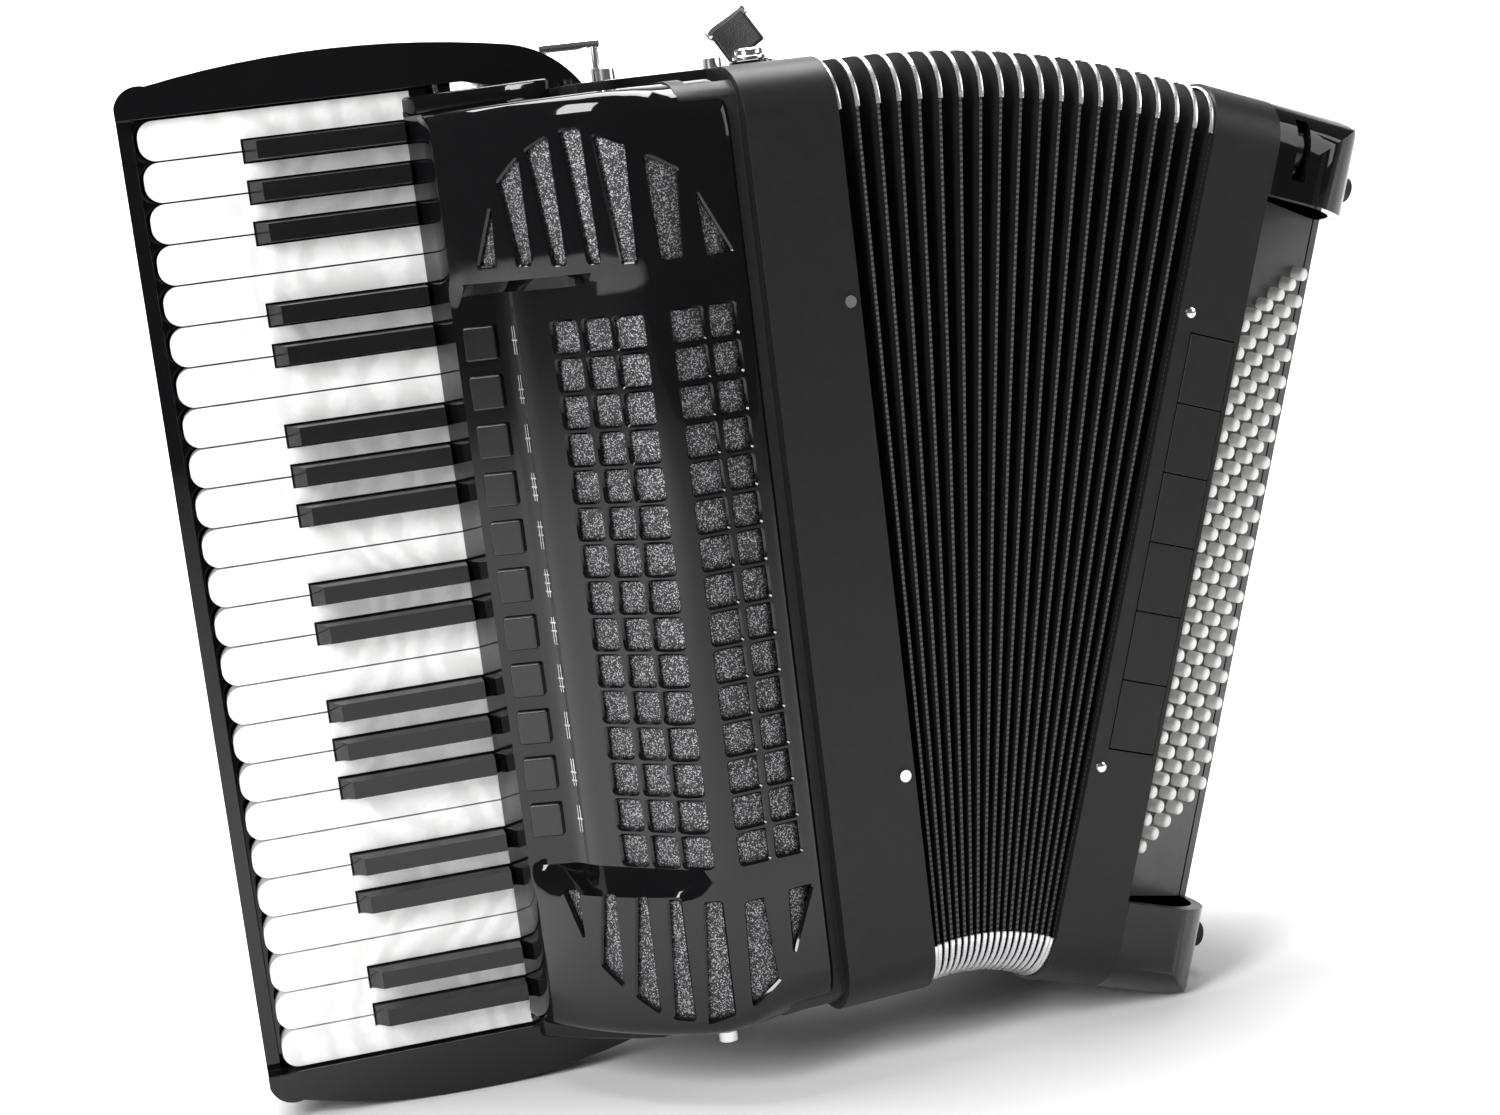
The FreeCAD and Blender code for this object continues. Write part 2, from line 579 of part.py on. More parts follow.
def treble_fittings():
    pieces = [strap_bracket("upper_bracket", 1, "case_height")]
    low = strap_bracket("lower_bracket", -1, "0")
    pieces.append(low)
    pieces.append(rod("strap_stud", "-stud_place", "case_depth/2", "case_height", "stud_radius", "stud_height"))
    pieces.append(rod("strap_stud_low", "-stud_place", "case_depth/2", "-stud_height", "stud_radius",
                      "stud_height"))
    pieces.append(rod("thumbscrew_top", "-thumb_place", "thumb_depth", "case_height", "thumb_radius",
                      "thumb_height"))
    pieces.append(rod("thumbscrew_low", "-thumb_place", "thumb_depth", "-thumb_height", "thumb_radius",
                      "thumb_height"))
    for up in (-1, 1):
        z = "case_height/2+%d*pin_spread" % up
        pieces.append(rod("front_pin_%d" % (up + 1), "-pin_place", "-pin_height", z, "pin_radius",
                          "pin_height", ALONG_Y))
        top = "case_height" if up > 0 else "-pin_height"
        for side, y in enumerate(("case_depth/3", "2*case_depth/3")):
            pieces.append(rod("end_pin_%d_%d" % (up + 1, side), "-pin_place", y, top, "pin_radius",
                              "pin_height"))
    return gathered("treble_fittings", pieces)


# ---------------------------------------------------------------- bellows
def fan_ring(share, inset, chamfer):
    """Corners of the bellows' outline on the plane at a share of the way from treble to bass."""
    low, high = inset, number("case_height") - inset
    near, far = inset, number("case_depth") - inset
    outline = [(near + chamfer, low), (far - chamfer, low), (far, low + chamfer), (far, high - chamfer),
               (far - chamfer, high), (near + chamfer, high), (near, high - chamfer), (near, low + chamfer)]
    return [fan_point(share, Vector(0, y, z)) for y, z in outline]


def fan_point(share, point):
    """Where a point of the closed bellows lies when the fan is open."""
    closed = Vector(share * number("bellows_closed") + point.x, point.y, point.z)
    turned = Rotation(Vector(0, 1, 0), share * number("fan_angle"))
    return pivot + turned.multVec(closed - pivot)


def strip_faces(ring, other):
    faces = []
    for a, b, c, d in zip(ring, ring[1:] + ring[:1], other[1:] + other[:1], other):
        for corner in ((a, b, c), (a, c, d)):
            faces.append(Part.Face(Part.makePolygon(list(corner) + [corner[0]])))
    return faces


def bellows_folds():
    """A pleated card wall: ridges at the outline, valleys inside, closed to its own thickness."""
    steps = 2 * (FOLDS + 1)
    skin = number("fold_skin")
    rings = {}
    for layer, extra in (("outside", 0.0), ("inside", skin + 1.0)):
        rings[layer] = []
        for step in range(steps + 1):
            share = 0.002 + 0.996 * step / steps
            inset = number("fold_inset") + extra + (number("fold_depth") if step % 2 else 0)
            rings[layer].append(fan_ring(share, inset, number("fold_chamfer")))
    faces = []
    for layer in rings.values():
        for here, there in zip(layer, layer[1:]):
            faces += strip_faces(here, there)
    for end in (0, -1):
        faces += strip_faces(rings["outside"][end], rings["inside"][end])
    solid = Part.Solid(Part.makeShell(faces))
    if solid.Volume < 0:
        solid.reverse()
    return made("bellows_folds", solid)


def corner_piece(share, lean, y_side, z_side):
    """One bent metal corner over a ridge: two legs and the bevel between them."""
    thick, leg, chamfer = number("corner_thick"), number("corner_leg"), number("fold_chamfer")
    back = number("corner_back")
    wide = number("corner_width")
    low = number("fold_inset") - 0.05
    bevel = chamfer + thick * (math.sqrt(2) - 1)
    plan = [(back, low), (back, low - thick), (bevel + low - thick, low - thick),
            (low - thick, bevel + low - thick), (low - thick, leg), (low, leg),
            (low, chamfer + low), (chamfer + low, low)]
    corners = []
    for y, z in plan:
        if y_side:
            y = number("case_depth") - y
        if z_side:
            z = number("case_height") - z
        corners.append(Vector(lean - wide / 2, y, z))
    face = Part.Face(Part.makePolygon(corners + corners[:1]))
    piece = face.extrude(Vector(wide, 0, 0))
    place = Placement(pivot, Rotation(Vector(0, 1, 0), share * number("fan_angle")))
    shift = Placement(Vector(share * number("bellows_closed"), 0, 0) - pivot, Rotation())
    piece.Placement = place.multiply(shift)
    return piece


def bellows_corners():
    """Metal corners on every ridge and on the two frames, four to a ridge."""
    pieces = []
    half = number("corner_width") / 2 + 0.1
    for ridge in range(FOLDS + 2):
        share = ridge / (FOLDS + 1)
        lean = half if ridge == 0 else -half if ridge == FOLDS + 1 else 0
        for y_side in (0, 1):
            for z_side in (0, 1):
                pieces.append(corner_piece(share, lean, y_side, z_side))
    return made("bellows_corners", Part.makeCompound(pieces))


# ---------------------------------------------------------------- bass side
def bass_block(name, inset, left, right):
    """The bass case's round block: long edges round as on the treble, outer end rounder."""
    tube = case_block(name + "_tube", left, right, inset)
    end = box(name + "_end", "%s-40" % left, inset, inset, "%s+40-(%s)" % (right, left),
              "case_depth-2*(%s)" % inset, "case_height-2*(%s)" % inset)
    reach = number(right)
    middle = number("case_depth/2")

    def radius(edge):
        if abs(edge.CenterOfMass.x - reach) > 0.01:
            return None
        if along(edge, Vector(0, 1, 0)):
            return max(number("bass_round-(%s)" % inset), 0.5)
        if along(edge, Vector(0, 0, 1)):
            wanted = "nose_round" if edge.CenterOfMass.y < middle else "rear_round"
            return max(number("%s-(%s)" % (wanted, inset)), 0.5)
        return None

    return common(name, [tube, rounded(name + "_end_round", end, radius)])


BOARD_RISE = "tan(board_turn)"


def board_recess(name):
    """The space in front of the slanted button board."""
    return padded(name, "XY_Plane", [
        ("bass_nose", "-10"), ("bass_nose", "0"), ("board_x", "board_y"),
        ("bass_width+20", "board_y+(bass_width+20-board_x)*%s" % BOARD_RISE), ("bass_width+20", "-10")],
        "case_height-2*board_end", ("0", "0", "board_end"))


def bass_shell():
    return cut("bass_shell_" + str(len(doc.Objects)), bass_block("bass_outer_" + str(len(doc.Objects)), "0",
               "0", "bass_width"), bass_block("bass_inner_" + str(len(doc.Objects)), "bass_wall", "-1",
               "bass_width-end_thick"))


def bass_case():
    recess = board_recess("bass_recess")
    open_shell = cut("bass_open_shell", bass_shell(), recess)
    beyond = box("bass_beyond", "bass_width-end_thick-0.1", "-10", "-10", "bass_width", "case_depth+20",
                 "case_height+20")
    body = cut("bass_body", open_shell, beyond)
    panels = box("bass_panel_window", "panel_start-panel_gap", "-5",
                 "case_height/2-%g*panel_pitch-panel_gap" % (BASS_PANELS / 2), "panel_width+2*panel_gap",
                 "bass_wall+10", "%d*panel_pitch+2*panel_gap" % BASS_PANELS)
    slot = box("wheel_slot_cut", "wheel_place-wheel_slot/2", "-5", "wheel_height-wheel_radius-2",
               "wheel_slot", "bass_wall+18", "2*wheel_radius+4")
    pierced = cut("bass_pierced", body, gathered("bass_front_cuts", [panels, slot]))
    lugs = [box("wheel_lug_%d" % i, "wheel_place%s" % place, "wheel_depth-4", "wheel_height-4",
                "lug_thick", "8", "case_height-bass_wall-wheel_height+4")
            for i, place in enumerate(("-wheel_slot/2-lug_thick", "+wheel_slot/2"))]
    lugs_bored = cut("wheel_lugs", gathered("wheel_lugs_plain", lugs),
                     rod("wheel_lug_bore", "wheel_place-20", "wheel_depth", "wheel_height",
                         "wheel_axle+axle_play", "40", ALONG_X))
    case = fused("bass_case_walls", [pierced, lugs_bored])
    far = "bass_width-end_thick-1"
    skin = "board_thick/cos(board_turn)"
    plate = padded("bass_button_plate", "XY_Plane", [
        ("bass_nose+board_gap", "bass_wall+board_gap"), ("bass_nose+board_gap+1", "board_gap+4"),
        ("board_x", "board_y"), (far, "board_y+(%s-board_x)*%s" % (far, BOARD_RISE)),
        (far, "board_y+(%s-board_x)*%s+%s" % (far, BOARD_RISE, skin)),
        ("board_x-3", "board_y+%s" % skin), ("board_x-6", "bass_wall+board_gap+3")],
        "case_height-2*board_end-2*board_gap", ("0", "0", "board_end+board_gap"))
    holes = made("button_holes", Part.makeCompound([
        Part.makeCylinder(number("button_radius+button_play"), 60, spot - out * 30, out)
        for spot, out in button_spots()]))
    return gathered("bass_case", [case, cut("bass_button_board", plate, holes)])


def bass_end_plate():
    recess = board_recess("end_recess")
    shell = cut("end_open_shell", bass_shell(), recess)
    keep = box("end_keep", "bass_width-end_thick", "-10", "-10", "bass_width", "case_depth+20",
               "case_height+20")
    plate = common("end_blank", [shell, keep])
    bore = rod("air_bore", "bass_width-40", "air_depth", "air_height", "air_radius+button_play", "80", ALONG_X)
    return cut("bass_end_plate", plate, bore)


def button_spots():
    """Foot of each button on the board's face, and the direction out of the board."""
    turn = Rotation(Vector(0, 0, 1), number("board_turn"))
    out = turn.multVec(Vector(0, -1, 0))
    start = Vector(number("board_x"), number("board_y"), 0)
    spots = []
    for row in range(BUTTON_ROWS):
        foot = start + turn.multVec(Vector(number("button_inset") + row * number("button_row_pitch"), 0, 0))
        for column in range(BUTTON_COLUMNS):
            height = number("button_first") + column * number("button_pitch") + row * number("button_stagger")
            spots.append((foot + Vector(0, 0, height), out))
    return spots


def bass_buttons():
    """Round-topped buttons on short stems."""
    radius, rise, stem = number("button_radius"), number("button_rise"), number("button_stem")
    post = Part.makeCylinder(radius, rise + stem, Vector(0, 0, -stem))
    top = [e for e in post.Edges if abs(e.CenterOfMass.z - rise) < 0.01 and e.Curve.TypeId == "Part::GeomCircle"]
    post = post.makeFillet(radius * 0.45, top)
    buttons = []
    for spot, out in button_spots():
        button = post.copy()
        button.Placement = Placement(spot, Rotation(Vector(0, 0, 1), out))
        buttons.append(button)
    return made("bass_buttons", Part.makeCompound(buttons))


def bass_registers():
    return gathered("bass_registers", [
        box("bass_panel_%d" % (i + 1), "panel_start", "-0.6",
            "case_height/2+%g*panel_pitch+panel_gap/2" % (i - BASS_PANELS / 2), "panel_width", "panel_thick",
            "panel_pitch-panel_gap") for i in range(BASS_PANELS)])


def air_button():
    face = rod("air_plunger", "bass_width-end_thick-1", "air_depth", "air_height", "air_radius",
               "end_thick+air_rise+1", ALONG_X)
    flange = rod("air_flange_disc", "bass_width-end_thick-2.3", "air_depth", "air_height", "air_flange", "2",
                 ALONG_X)
    return fused("air_button", [face, flange])


def strap_wheel():
    disc = rod("wheel_disc", "wheel_place-wheel_thick/2", "wheel_depth", "wheel_height", "wheel_radius",
               "wheel_thick", ALONG_X)
    axle = rod("wheel_axle_rod", "wheel_place-wheel_slot/2-lug_thick", "wheel_depth", "wheel_height",
               "wheel_axle", "wheel_slot+2*lug_thick", ALONG_X)
    return fused("strap_wheel", [disc, axle])


def bass_feet():
    pieces = []
    for high in (0, 1):
        z = "case_height-foot_margin" if high else "foot_margin"
        for rear in (0, 1):
            y = "case_depth-foot_rear" if rear else "foot_front"
            pieces.append(rod("foot_%d%d" % (high, rear), "bass_width", y, z, "foot_radius", "foot_height",
                              ALONG_X))
    return gathered("bass_feet", pieces)


def bass_strap():
    """Leather hand strap that stands off the end plate."""
    low, high, run, rise = "strap_low", "strap_high", "strap_run", "strap_rise"
    face = "bass_width+0.1"
    outline = [
        (face, low), (face, low + "+14"), ("bass_width+strap_rise", "%s+%s+14" % (low, run)),
        ("bass_width+%s" % rise, "%s-%s-14" % (high, run)), (face, high + "-14"), (face, high),
        (face + "+strap_thick", high), (face + "+strap_thick", high + "-13"),
        ("bass_width+%s+strap_thick" % rise, "%s-%s-13" % (high, run)),
        ("bass_width+%s+strap_thick" % rise, "%s+%s+13" % (low, run)), (face + "+strap_thick", low + "+13"),
        (face + "+strap_thick", low)]
    return gathered("bass_strap", [padded("bass_strap_leather", "XZ_Plane", outline, "strap_width",
                                          ("0", "strap_front", "0"))])


# ---------------------------------------------------------------- the whole instrument
treble_nodes = [treble_case(), keyboard_frame(), grille_cover(), grille_mesh(), treble_fittings(),
                gathered("treble_registers", register_boxes("register_tab", 0.0)), bellows_folds(),
                bellows_corners(),
                reed_blocks("treble_reed_blocks", "-(soundboard_place-soundboard_thick)", "block_height",
                            "treble_block_first", "treble_block_pitch", 4, "block_margin",
                            "case_height-block_margin")]
axle = key_axle()
treble_nodes += [key(*entry) for entry in KEYS]
bass_nodes = [bass_case(), bass_end_plate(), bass_buttons(), bass_registers(), air_button(), strap_wheel(),
              bass_feet(), bass_strap(),
              reed_blocks("bass_reed_block", "6", "bass_block_height", "bass_block_first",
                          "bass_block_pitch", 2, "block_margin+20", "case_height-block_margin-20")]
doc.recompute()

for node in bass_nodes:
    node.Placement = bass_frame
axle.Placement = key_frame
doc.recompute()


def leaning(angle):
    """The whole instrument tipped to its treble side by an angle."""
    return Placement(Vector(), Rotation(Vector(0, -1, 0), angle))


def lowest(node, angle):
    shape = node.Shape.copy()
    shape.Placement = leaning(angle).multiply(shape.Placement)
    return shape.optimalBoundingBox(False, False).ZMin


def stance():
    """The lean at which the keyboard's lower cheek and the bass case stand on one level."""
    keyboard, bass = treble_nodes[1], bass_nodes[0]
    low, high = -15.0, 15.0
    for step in range(16):
        middle = (low + high) / 2
        if lowest(keyboard, middle) > lowest(bass, middle):
            low = middle
        else:
            high = middle
    return (low + high) / 2


# The origin is under the middle of the whole instrument, on the surface it stands on.
nodes = treble_nodes + [axle] + bass_nodes
lean = stance()
extent = FreeCAD.BoundBox()
for node in nodes:
    node.Placement = leaning(lean).multiply(node.Placement)
doc.recompute()
for node in nodes:
    extent.add(node.Shape.optimalBoundingBox(False, False))
to_row = Placement(Vector(-extent.Center.x, -extent.Center.y, -extent.ZMin), Rotation())
for node in nodes:
    node.Placement = to_row.multiply(node.Placement)
doc.recompute()

os.makedirs("parts", exist_ok=True)
for thing in doc.Objects:
    if "Invalid" in thing.State or "Error" in thing.State:
        raise RuntimeError("%s failed: %s" % (thing.Name, thing.State))
for node in nodes:
    shape = node.Shape
    if shape.isNull() or not shape.isValid() or not shape.Solids:
        raise RuntimeError("%s has no sound shape" % node.Label)
    shape.exportStep("parts/%s.step" % node.Label)
print("nodes", len(nodes), "row origin shift", to_row.Base, "lean", lean)
print("extent", extent.XLength, extent.YLength, extent.ZLength)
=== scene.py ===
import json
from math import cos, pi, radians, sin, sqrt

import bmesh
import bpy
from mathutils import Matrix, Vector

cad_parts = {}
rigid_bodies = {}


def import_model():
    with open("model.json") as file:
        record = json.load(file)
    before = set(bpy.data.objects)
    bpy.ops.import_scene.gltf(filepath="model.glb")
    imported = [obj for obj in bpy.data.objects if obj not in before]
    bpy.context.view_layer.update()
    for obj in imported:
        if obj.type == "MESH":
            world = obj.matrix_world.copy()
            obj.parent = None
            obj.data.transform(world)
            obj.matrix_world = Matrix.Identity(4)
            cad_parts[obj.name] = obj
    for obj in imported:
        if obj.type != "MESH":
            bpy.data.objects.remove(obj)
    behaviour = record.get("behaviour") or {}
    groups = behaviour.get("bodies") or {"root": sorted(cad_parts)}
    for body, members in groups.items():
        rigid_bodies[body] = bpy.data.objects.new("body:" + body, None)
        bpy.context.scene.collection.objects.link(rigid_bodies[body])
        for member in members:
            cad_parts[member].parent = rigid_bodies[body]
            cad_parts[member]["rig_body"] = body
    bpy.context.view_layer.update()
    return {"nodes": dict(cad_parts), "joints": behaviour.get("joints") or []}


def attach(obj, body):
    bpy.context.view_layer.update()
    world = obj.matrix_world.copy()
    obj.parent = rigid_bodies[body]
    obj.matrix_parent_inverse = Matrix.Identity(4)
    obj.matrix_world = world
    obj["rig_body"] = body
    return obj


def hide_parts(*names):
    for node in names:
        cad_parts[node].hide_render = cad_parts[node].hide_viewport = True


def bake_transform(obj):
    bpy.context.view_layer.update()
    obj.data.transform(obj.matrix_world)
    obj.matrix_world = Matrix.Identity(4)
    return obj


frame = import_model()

# ------------------------------------------------------------------ treble case
# The right-hand half of the instrument is a plywood box that holds the treble reeds.
# It is covered in satin black celluloid with a faint grain. The bellows are pinned to its
# open side, and the other pieces of this half are fixed to it.
joint = {each["name"]: each for each in frame["joints"]}
treble_up = -Vector(joint["key_01_f3_press"]["axis"])
treble_across = Vector((0, 1, 0)).cross(treble_up)
treble_turn = Matrix((treble_across, (0, 1, 0), treble_up)).transposed()
bass_across = -Vector(joint["air_button_press"]["axis"])
spread = treble_across.angle(bass_across)
hinge = Vector(joint["bellows_fan"]["pos_m"])
case_depth, case_height = 190, 472
bellows_gap = 61


def treble(x, y, z):
    """A point of the treble case, given in millimetres from its front lower bellows edge."""
    return hinge + treble_turn @ Vector((x - bellows_gap / 2, y - case_depth / 2, z)) * 0.001


def fanned(share, x, y, z):
    """A point that the bellows carry a share of the way from the treble to the bass case."""
    reach = bellows_gap * (share - 0.5) + x
    angle = spread * share
    return treble(bellows_gap / 2 + reach * cos(angle) + z * sin(angle), y,
                  z * cos(angle) - reach * sin(angle))


def material(name, colour, roughness, metallic=0.0, coat=0.0, specular=0.5):
    """A new material with its shader, and a function that adds a node to it."""
    made = bpy.data.materials.new(name)
    made.use_nodes = True
    tree = made.node_tree
    shader = tree.nodes["Principled BSDF"]
    shader.inputs["Base Color"].default_value = (*colour, 1)
    shader.inputs["Roughness"].default_value = roughness
    shader.inputs["Metallic"].default_value = metallic
    shader.inputs["Coat Weight"].default_value = coat
    shader.inputs["Coat Roughness"].default_value = 0.04
    shader.inputs["Specular IOR Level"].default_value = specular
    made.diffuse_color = (*colour, 1)

    def add(kind, links=(), **values):
        node = tree.nodes.new(kind)
        for key, value in values.items():
            if key in node.inputs:
                node.inputs[key].default_value = value
            else:
                setattr(node, key, value)
        for socket, source in links:
            tree.links.new(source, node.inputs[socket])
        return node

    return made, shader, add, tree.links.new


def surface_group(name):
    """Node group: fine mottling for colour and roughness, and a bump height, on Object coordinates."""
    group = bpy.data.node_groups.new(name, "ShaderNodeTree")
    for label, kind, value in (("Scale", "NodeSocketFloat", 300.0),
                               ("Stretch", "NodeSocketVector", (1, 1, 1)),
                               ("Low", "NodeSocketFloat", 0.0), ("High", "NodeSocketFloat", 1.0)):
        group.interface.new_socket(label, in_out="INPUT", socket_type=kind).default_value = value
    group.interface.new_socket("Value", in_out="OUTPUT", socket_type="NodeSocketFloat")
    group.interface.new_socket("Height", in_out="OUTPUT", socket_type="NodeSocketFloat")
    nodes, link = group.nodes, group.links.new
    inside, out = nodes.new("NodeGroupInput"), nodes.new("NodeGroupOutput")
    place = nodes.new("ShaderNodeTexCoord")
    stretched = nodes.new("ShaderNodeVectorMath")
    stretched.operation = "MULTIPLY"
    broad, fine = nodes.new("ShaderNodeTexNoise"), nodes.new("ShaderNodeTexNoise")
    broad.inputs["Detail"].default_value = 4
    fine.inputs["Detail"].default_value = 6
    fine.inputs["Roughness"].default_value = 0.65
    slower = nodes.new("ShaderNodeMath")
    slower.operation = "MULTIPLY"
    slower.inputs[1].default_value = 0.12
    span = nodes.new("ShaderNodeMapRange")
    link(place.outputs["Object"], stretched.inputs[0])
    link(inside.outputs["Stretch"], stretched.inputs[1])
    link(stretched.outputs[0], broad.inputs["Vector"])
    link(stretched.outputs[0], fine.inputs["Vector"])
    link(inside.outputs["Scale"], fine.inputs["Scale"])
    link(inside.outputs["Scale"], slower.inputs[0])
    link(slower.outputs[0], broad.inputs["Scale"])
    mixed = nodes.new("ShaderNodeMath")
    mixed.operation = "MULTIPLY_ADD"
    mixed.inputs[1].default_value = 0.5
    half = nodes.new("ShaderNodeMath")
    half.operation = "MULTIPLY"
    half.inputs[1].default_value = 0.5
    link(broad.outputs["Fac"], half.inputs[0])
    link(fine.outputs["Fac"], mixed.inputs[0])
    link(half.outputs[0], mixed.inputs[2])
    link(mixed.outputs[0], span.inputs["Value"])
    span.inputs["From Min"].default_value = 0.3
    span.inputs["From Max"].default_value = 0.7
    link(inside.outputs["Low"], span.inputs["To Min"])
    link(inside.outputs["High"], span.inputs["To Max"])
    link(span.outputs["Result"], out.inputs["Value"])
    link(fine.outputs["Fac"], out.inputs["Height"])
    return group


mottling = surface_group("mottling")


def mottled(add, scale, low, high, stretch=(1, 1, 1)):
    """The mottling group placed in a material with its own values."""
    node = add("ShaderNodeGroup", node_tree=mottling)
    node.inputs["Scale"].default_value = scale
    node.inputs["Stretch"].default_value = stretch
    node.inputs["Low"].default_value = low
    node.inputs["High"].default_value = high
    return node


def tinted(add, dark, light):
    """The factor socket and the colour of a mix that runs from dark to light."""
    mix = add("ShaderNodeMix", data_type="RGBA")
    mix.inputs[6].default_value = (*dark, 1)
    mix.inputs[7].default_value = (*light, 1)
    return mix.inputs[0], mix.outputs[2]


def bumped(add, link, shader, height, strength, distance=0.0002):
    """Raises the surface of a material by a height."""
    node = add("ShaderNodeBump", Strength=strength, Distance=distance)
    link(height, node.inputs["Height"])
    link(node.outputs["Normal"], shader.inputs["Normal"])


def covering(name, dark, light, rough_low, rough_high, scale, bump):
    """A mottled, slightly grained finish, for coverings, lacquers and plastics."""
    made, shader, add, link = material(name, dark, rough_low)
    tone = mottled(add, scale, 0.0, 1.0)
    factor, colour = tinted(add, dark, light)
    link(tone.outputs["Value"], factor)
    link(colour, shader.inputs["Base Color"])
    rough = mottled(add, scale * 0.4, rough_low, rough_high)
    link(rough.outputs["Value"], shader.inputs["Roughness"])
    bumped(add, link, shader, tone.outputs["Height"], bump)
    return made, shader


satin, satin_shader = covering("satin_celluloid", (0.007, 0.007, 0.0075), (0.012, 0.012, 0.0125),
                               0.38, 0.48, 1800, 0.10)
satin_shader.inputs["Specular IOR Level"].default_value = 0.3
lacquer, lacquer_shader = covering("black_lacquer", (0.0025, 0.0025, 0.003), (0.004, 0.004, 0.0045),
                                   0.035, 0.07, 60, 0.012)
lacquer_shader.inputs["Specular IOR Level"].default_value = 0.35
lacquer_shader.inputs["Coat Weight"].default_value = 0.15
lacquer_shader.inputs["Coat Roughness"].default_value = 0.03


def piece(name, bm, body, *materials, angle=35):
    """A mesh object from a bmesh, with its materials, smooth but for its sharp edges, riding a body."""
    mesh = bpy.data.meshes.new(name)
    bm.to_mesh(mesh)
    bm.free()
    for each in materials:
        mesh.materials.append(each)
    mesh.shade_smooth()
    mesh.set_sharp_from_angle(angle=radians(angle))
    made = bpy.data.objects.new(name, mesh)
    bpy.context.scene.collection.objects.link(made)
    if body:
        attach(made, body)
    return made


def eased(node, body, finish, width, segments=2, angle=30, prepare=None, others=()):
    """The node's own shape with its flat faces joined and its sharp edges rounded over."""
    bm = bmesh.new()
    bm.from_mesh(frame["nodes"][node].data)
    bmesh.ops.remove_doubles(bm, verts=bm.verts, dist=2e-6)
    bmesh.ops.dissolve_limit(bm, angle_limit=radians(0.6), verts=bm.verts, edges=bm.edges)
    bmesh.ops.recalc_face_normals(bm, faces=bm.faces)
    if prepare:
        prepare(bm)
    made = piece(node + "_finished", bm, body, finish, *others, angle=angle)
    if width:
        ease = made.modifiers.new("eased edges", "BEVEL")
        ease.width, ease.segments, ease.limit_method = width, segments, "ANGLE"
        ease.angle_limit = radians(30)
        ease.harden_normals = True
    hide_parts(node)
    return made


eased("treble_case", "treble", satin, 0.0006)

# ------------------------------------------------------------------ treble reed blocks
# Spruce blocks stand inside the treble case with aluminium reed plates on both faces.
# They are hidden until the grille comes off, and are waxed and hooked to the soundboard.
wood, shader, add, link = material("reed_spruce", (0.42, 0.28, 0.15), 0.6)
grain = mottled(add, 260, 0.0, 1.0, (1, 1, 0.08))
factor, colour = tinted(add, (0.30, 0.18, 0.09), (0.55, 0.39, 0.22))
link(grain.outputs["Value"], factor)
link(colour, shader.inputs["Base Color"])
bumped(add, link, shader, grain.outputs["Height"], 0.2)


def dress(node, finish):
    """Gives a hidden or already finished node its material."""
    mesh = frame["nodes"][node].data
    mesh.materials.clear()
    mesh.materials.append(finish)
    for face in mesh.polygons:
        face.material_index = 0


dress("treble_reed_blocks", wood)
dress("bass_reed_block", wood)

# ------------------------------------------------------------------ keyboard frame
# A wooden board under the keys with a lip beyond their tips and a curved cheek at each end,
# covered all over in mirror black celluloid and polished. It is screwed to the treble case.
eased("keyboard_frame", "treble", lacquer, 0.0022, segments=4)

# ------------------------------------------------------------------ cheek fillets
# Black lacquered fillets close the step between each cheek and the end of the treble case.
# They are glued under the cheeks' inner ends.
fillet_outline = [(-181, 117), (-177, 106), (-160, 88), (-140, 70),
                  (-128, 62), (-122, 62), (-120, 70), (-120, 128)]
fillet_round = 0.0016
for name, low, high in (("upper_fillet", 466.5, 476.6), ("lower_fillet", -6.6, 5.5)):
    bm = bmesh.new()
    ring = [bm.verts.new(treble(x, y, low)) for x, y in fillet_outline]
    top = bmesh.ops.extrude_face_region(bm, geom=[bm.faces.new(ring)])["geom"]
    bmesh.ops.translate(bm, verts=[v for v in top if isinstance(v, bmesh.types.BMVert)],
                        vec=treble_up * (high - low) * 0.001)
    bmesh.ops.recalc_face_normals(bm, faces=bm.faces)
    bmesh.ops.bevel(bm, geom=list(bm.edges), offset=fillet_round, segments=3, profile=0.5, affect="EDGES",
                    material=-1)
    piece(name, bm, "treble", lacquer)

# ------------------------------------------------------------------ key axle
# One ground steel rod that all the keys turn on. It lies behind the keys' inner ends,
# in seats bored in the two cheeks.
steel, shader, add, link = material("ground_steel", (0.55, 0.55, 0.57), 0.3, metallic=1.0)
marks = mottled(add, 900, 0.22, 0.38, (1, 1, 0.1))
link(marks.outputs["Value"], shader.inputs["Roughness"])
dress("key_axle", steel)

# ------------------------------------------------------------------ keys
# Forty-one wooden keys: the naturals are faced with swirled white pearl celluloid, round
# at the tip, and the sharps are glossy black with a bevelled top. Each turns on the axle.
pearl, shader, add, link = material("pearl_celluloid", (0.80, 0.80, 0.79), 0.16, coat=0.5)
place = add("ShaderNodeTexCoord")
swirl = add("ShaderNodeTexNoise", [("Vector", place.outputs["Object"])],
            Scale=48.0, Detail=4.0, Distortion=3.4)
veins = add("ShaderNodeTexWave", [("Vector", place.outputs["Object"])],
            Scale=16.0, Distortion=16.0, Detail=4.0)
both = add("ShaderNodeMath", [(0, swirl.outputs["Fac"]), (1, veins.outputs["Fac"])], operation="MULTIPLY")
factor, colour = tinted(add, (0.74, 0.74, 0.735), (0.88, 0.88, 0.875))
spanned = add("ShaderNodeMapRange", [("Value", both.outputs[0])])
spanned.inputs["From Min"].default_value = 0.05
spanned.inputs["From Max"].default_value = 0.45
link(spanned.outputs["Result"], factor)
link(colour, shader.inputs["Base Color"])
worn = mottled(add, 120, 0.12, 0.24)
link(worn.outputs["Value"], shader.inputs["Roughness"])

ebony, ebony_shader = covering("key_black", (0.005, 0.005, 0.005), (0.009, 0.009, 0.009),
                               0.10, 0.2, 240, 0.02)
ebony_shader.inputs["Specular IOR Level"].default_value = 0.4

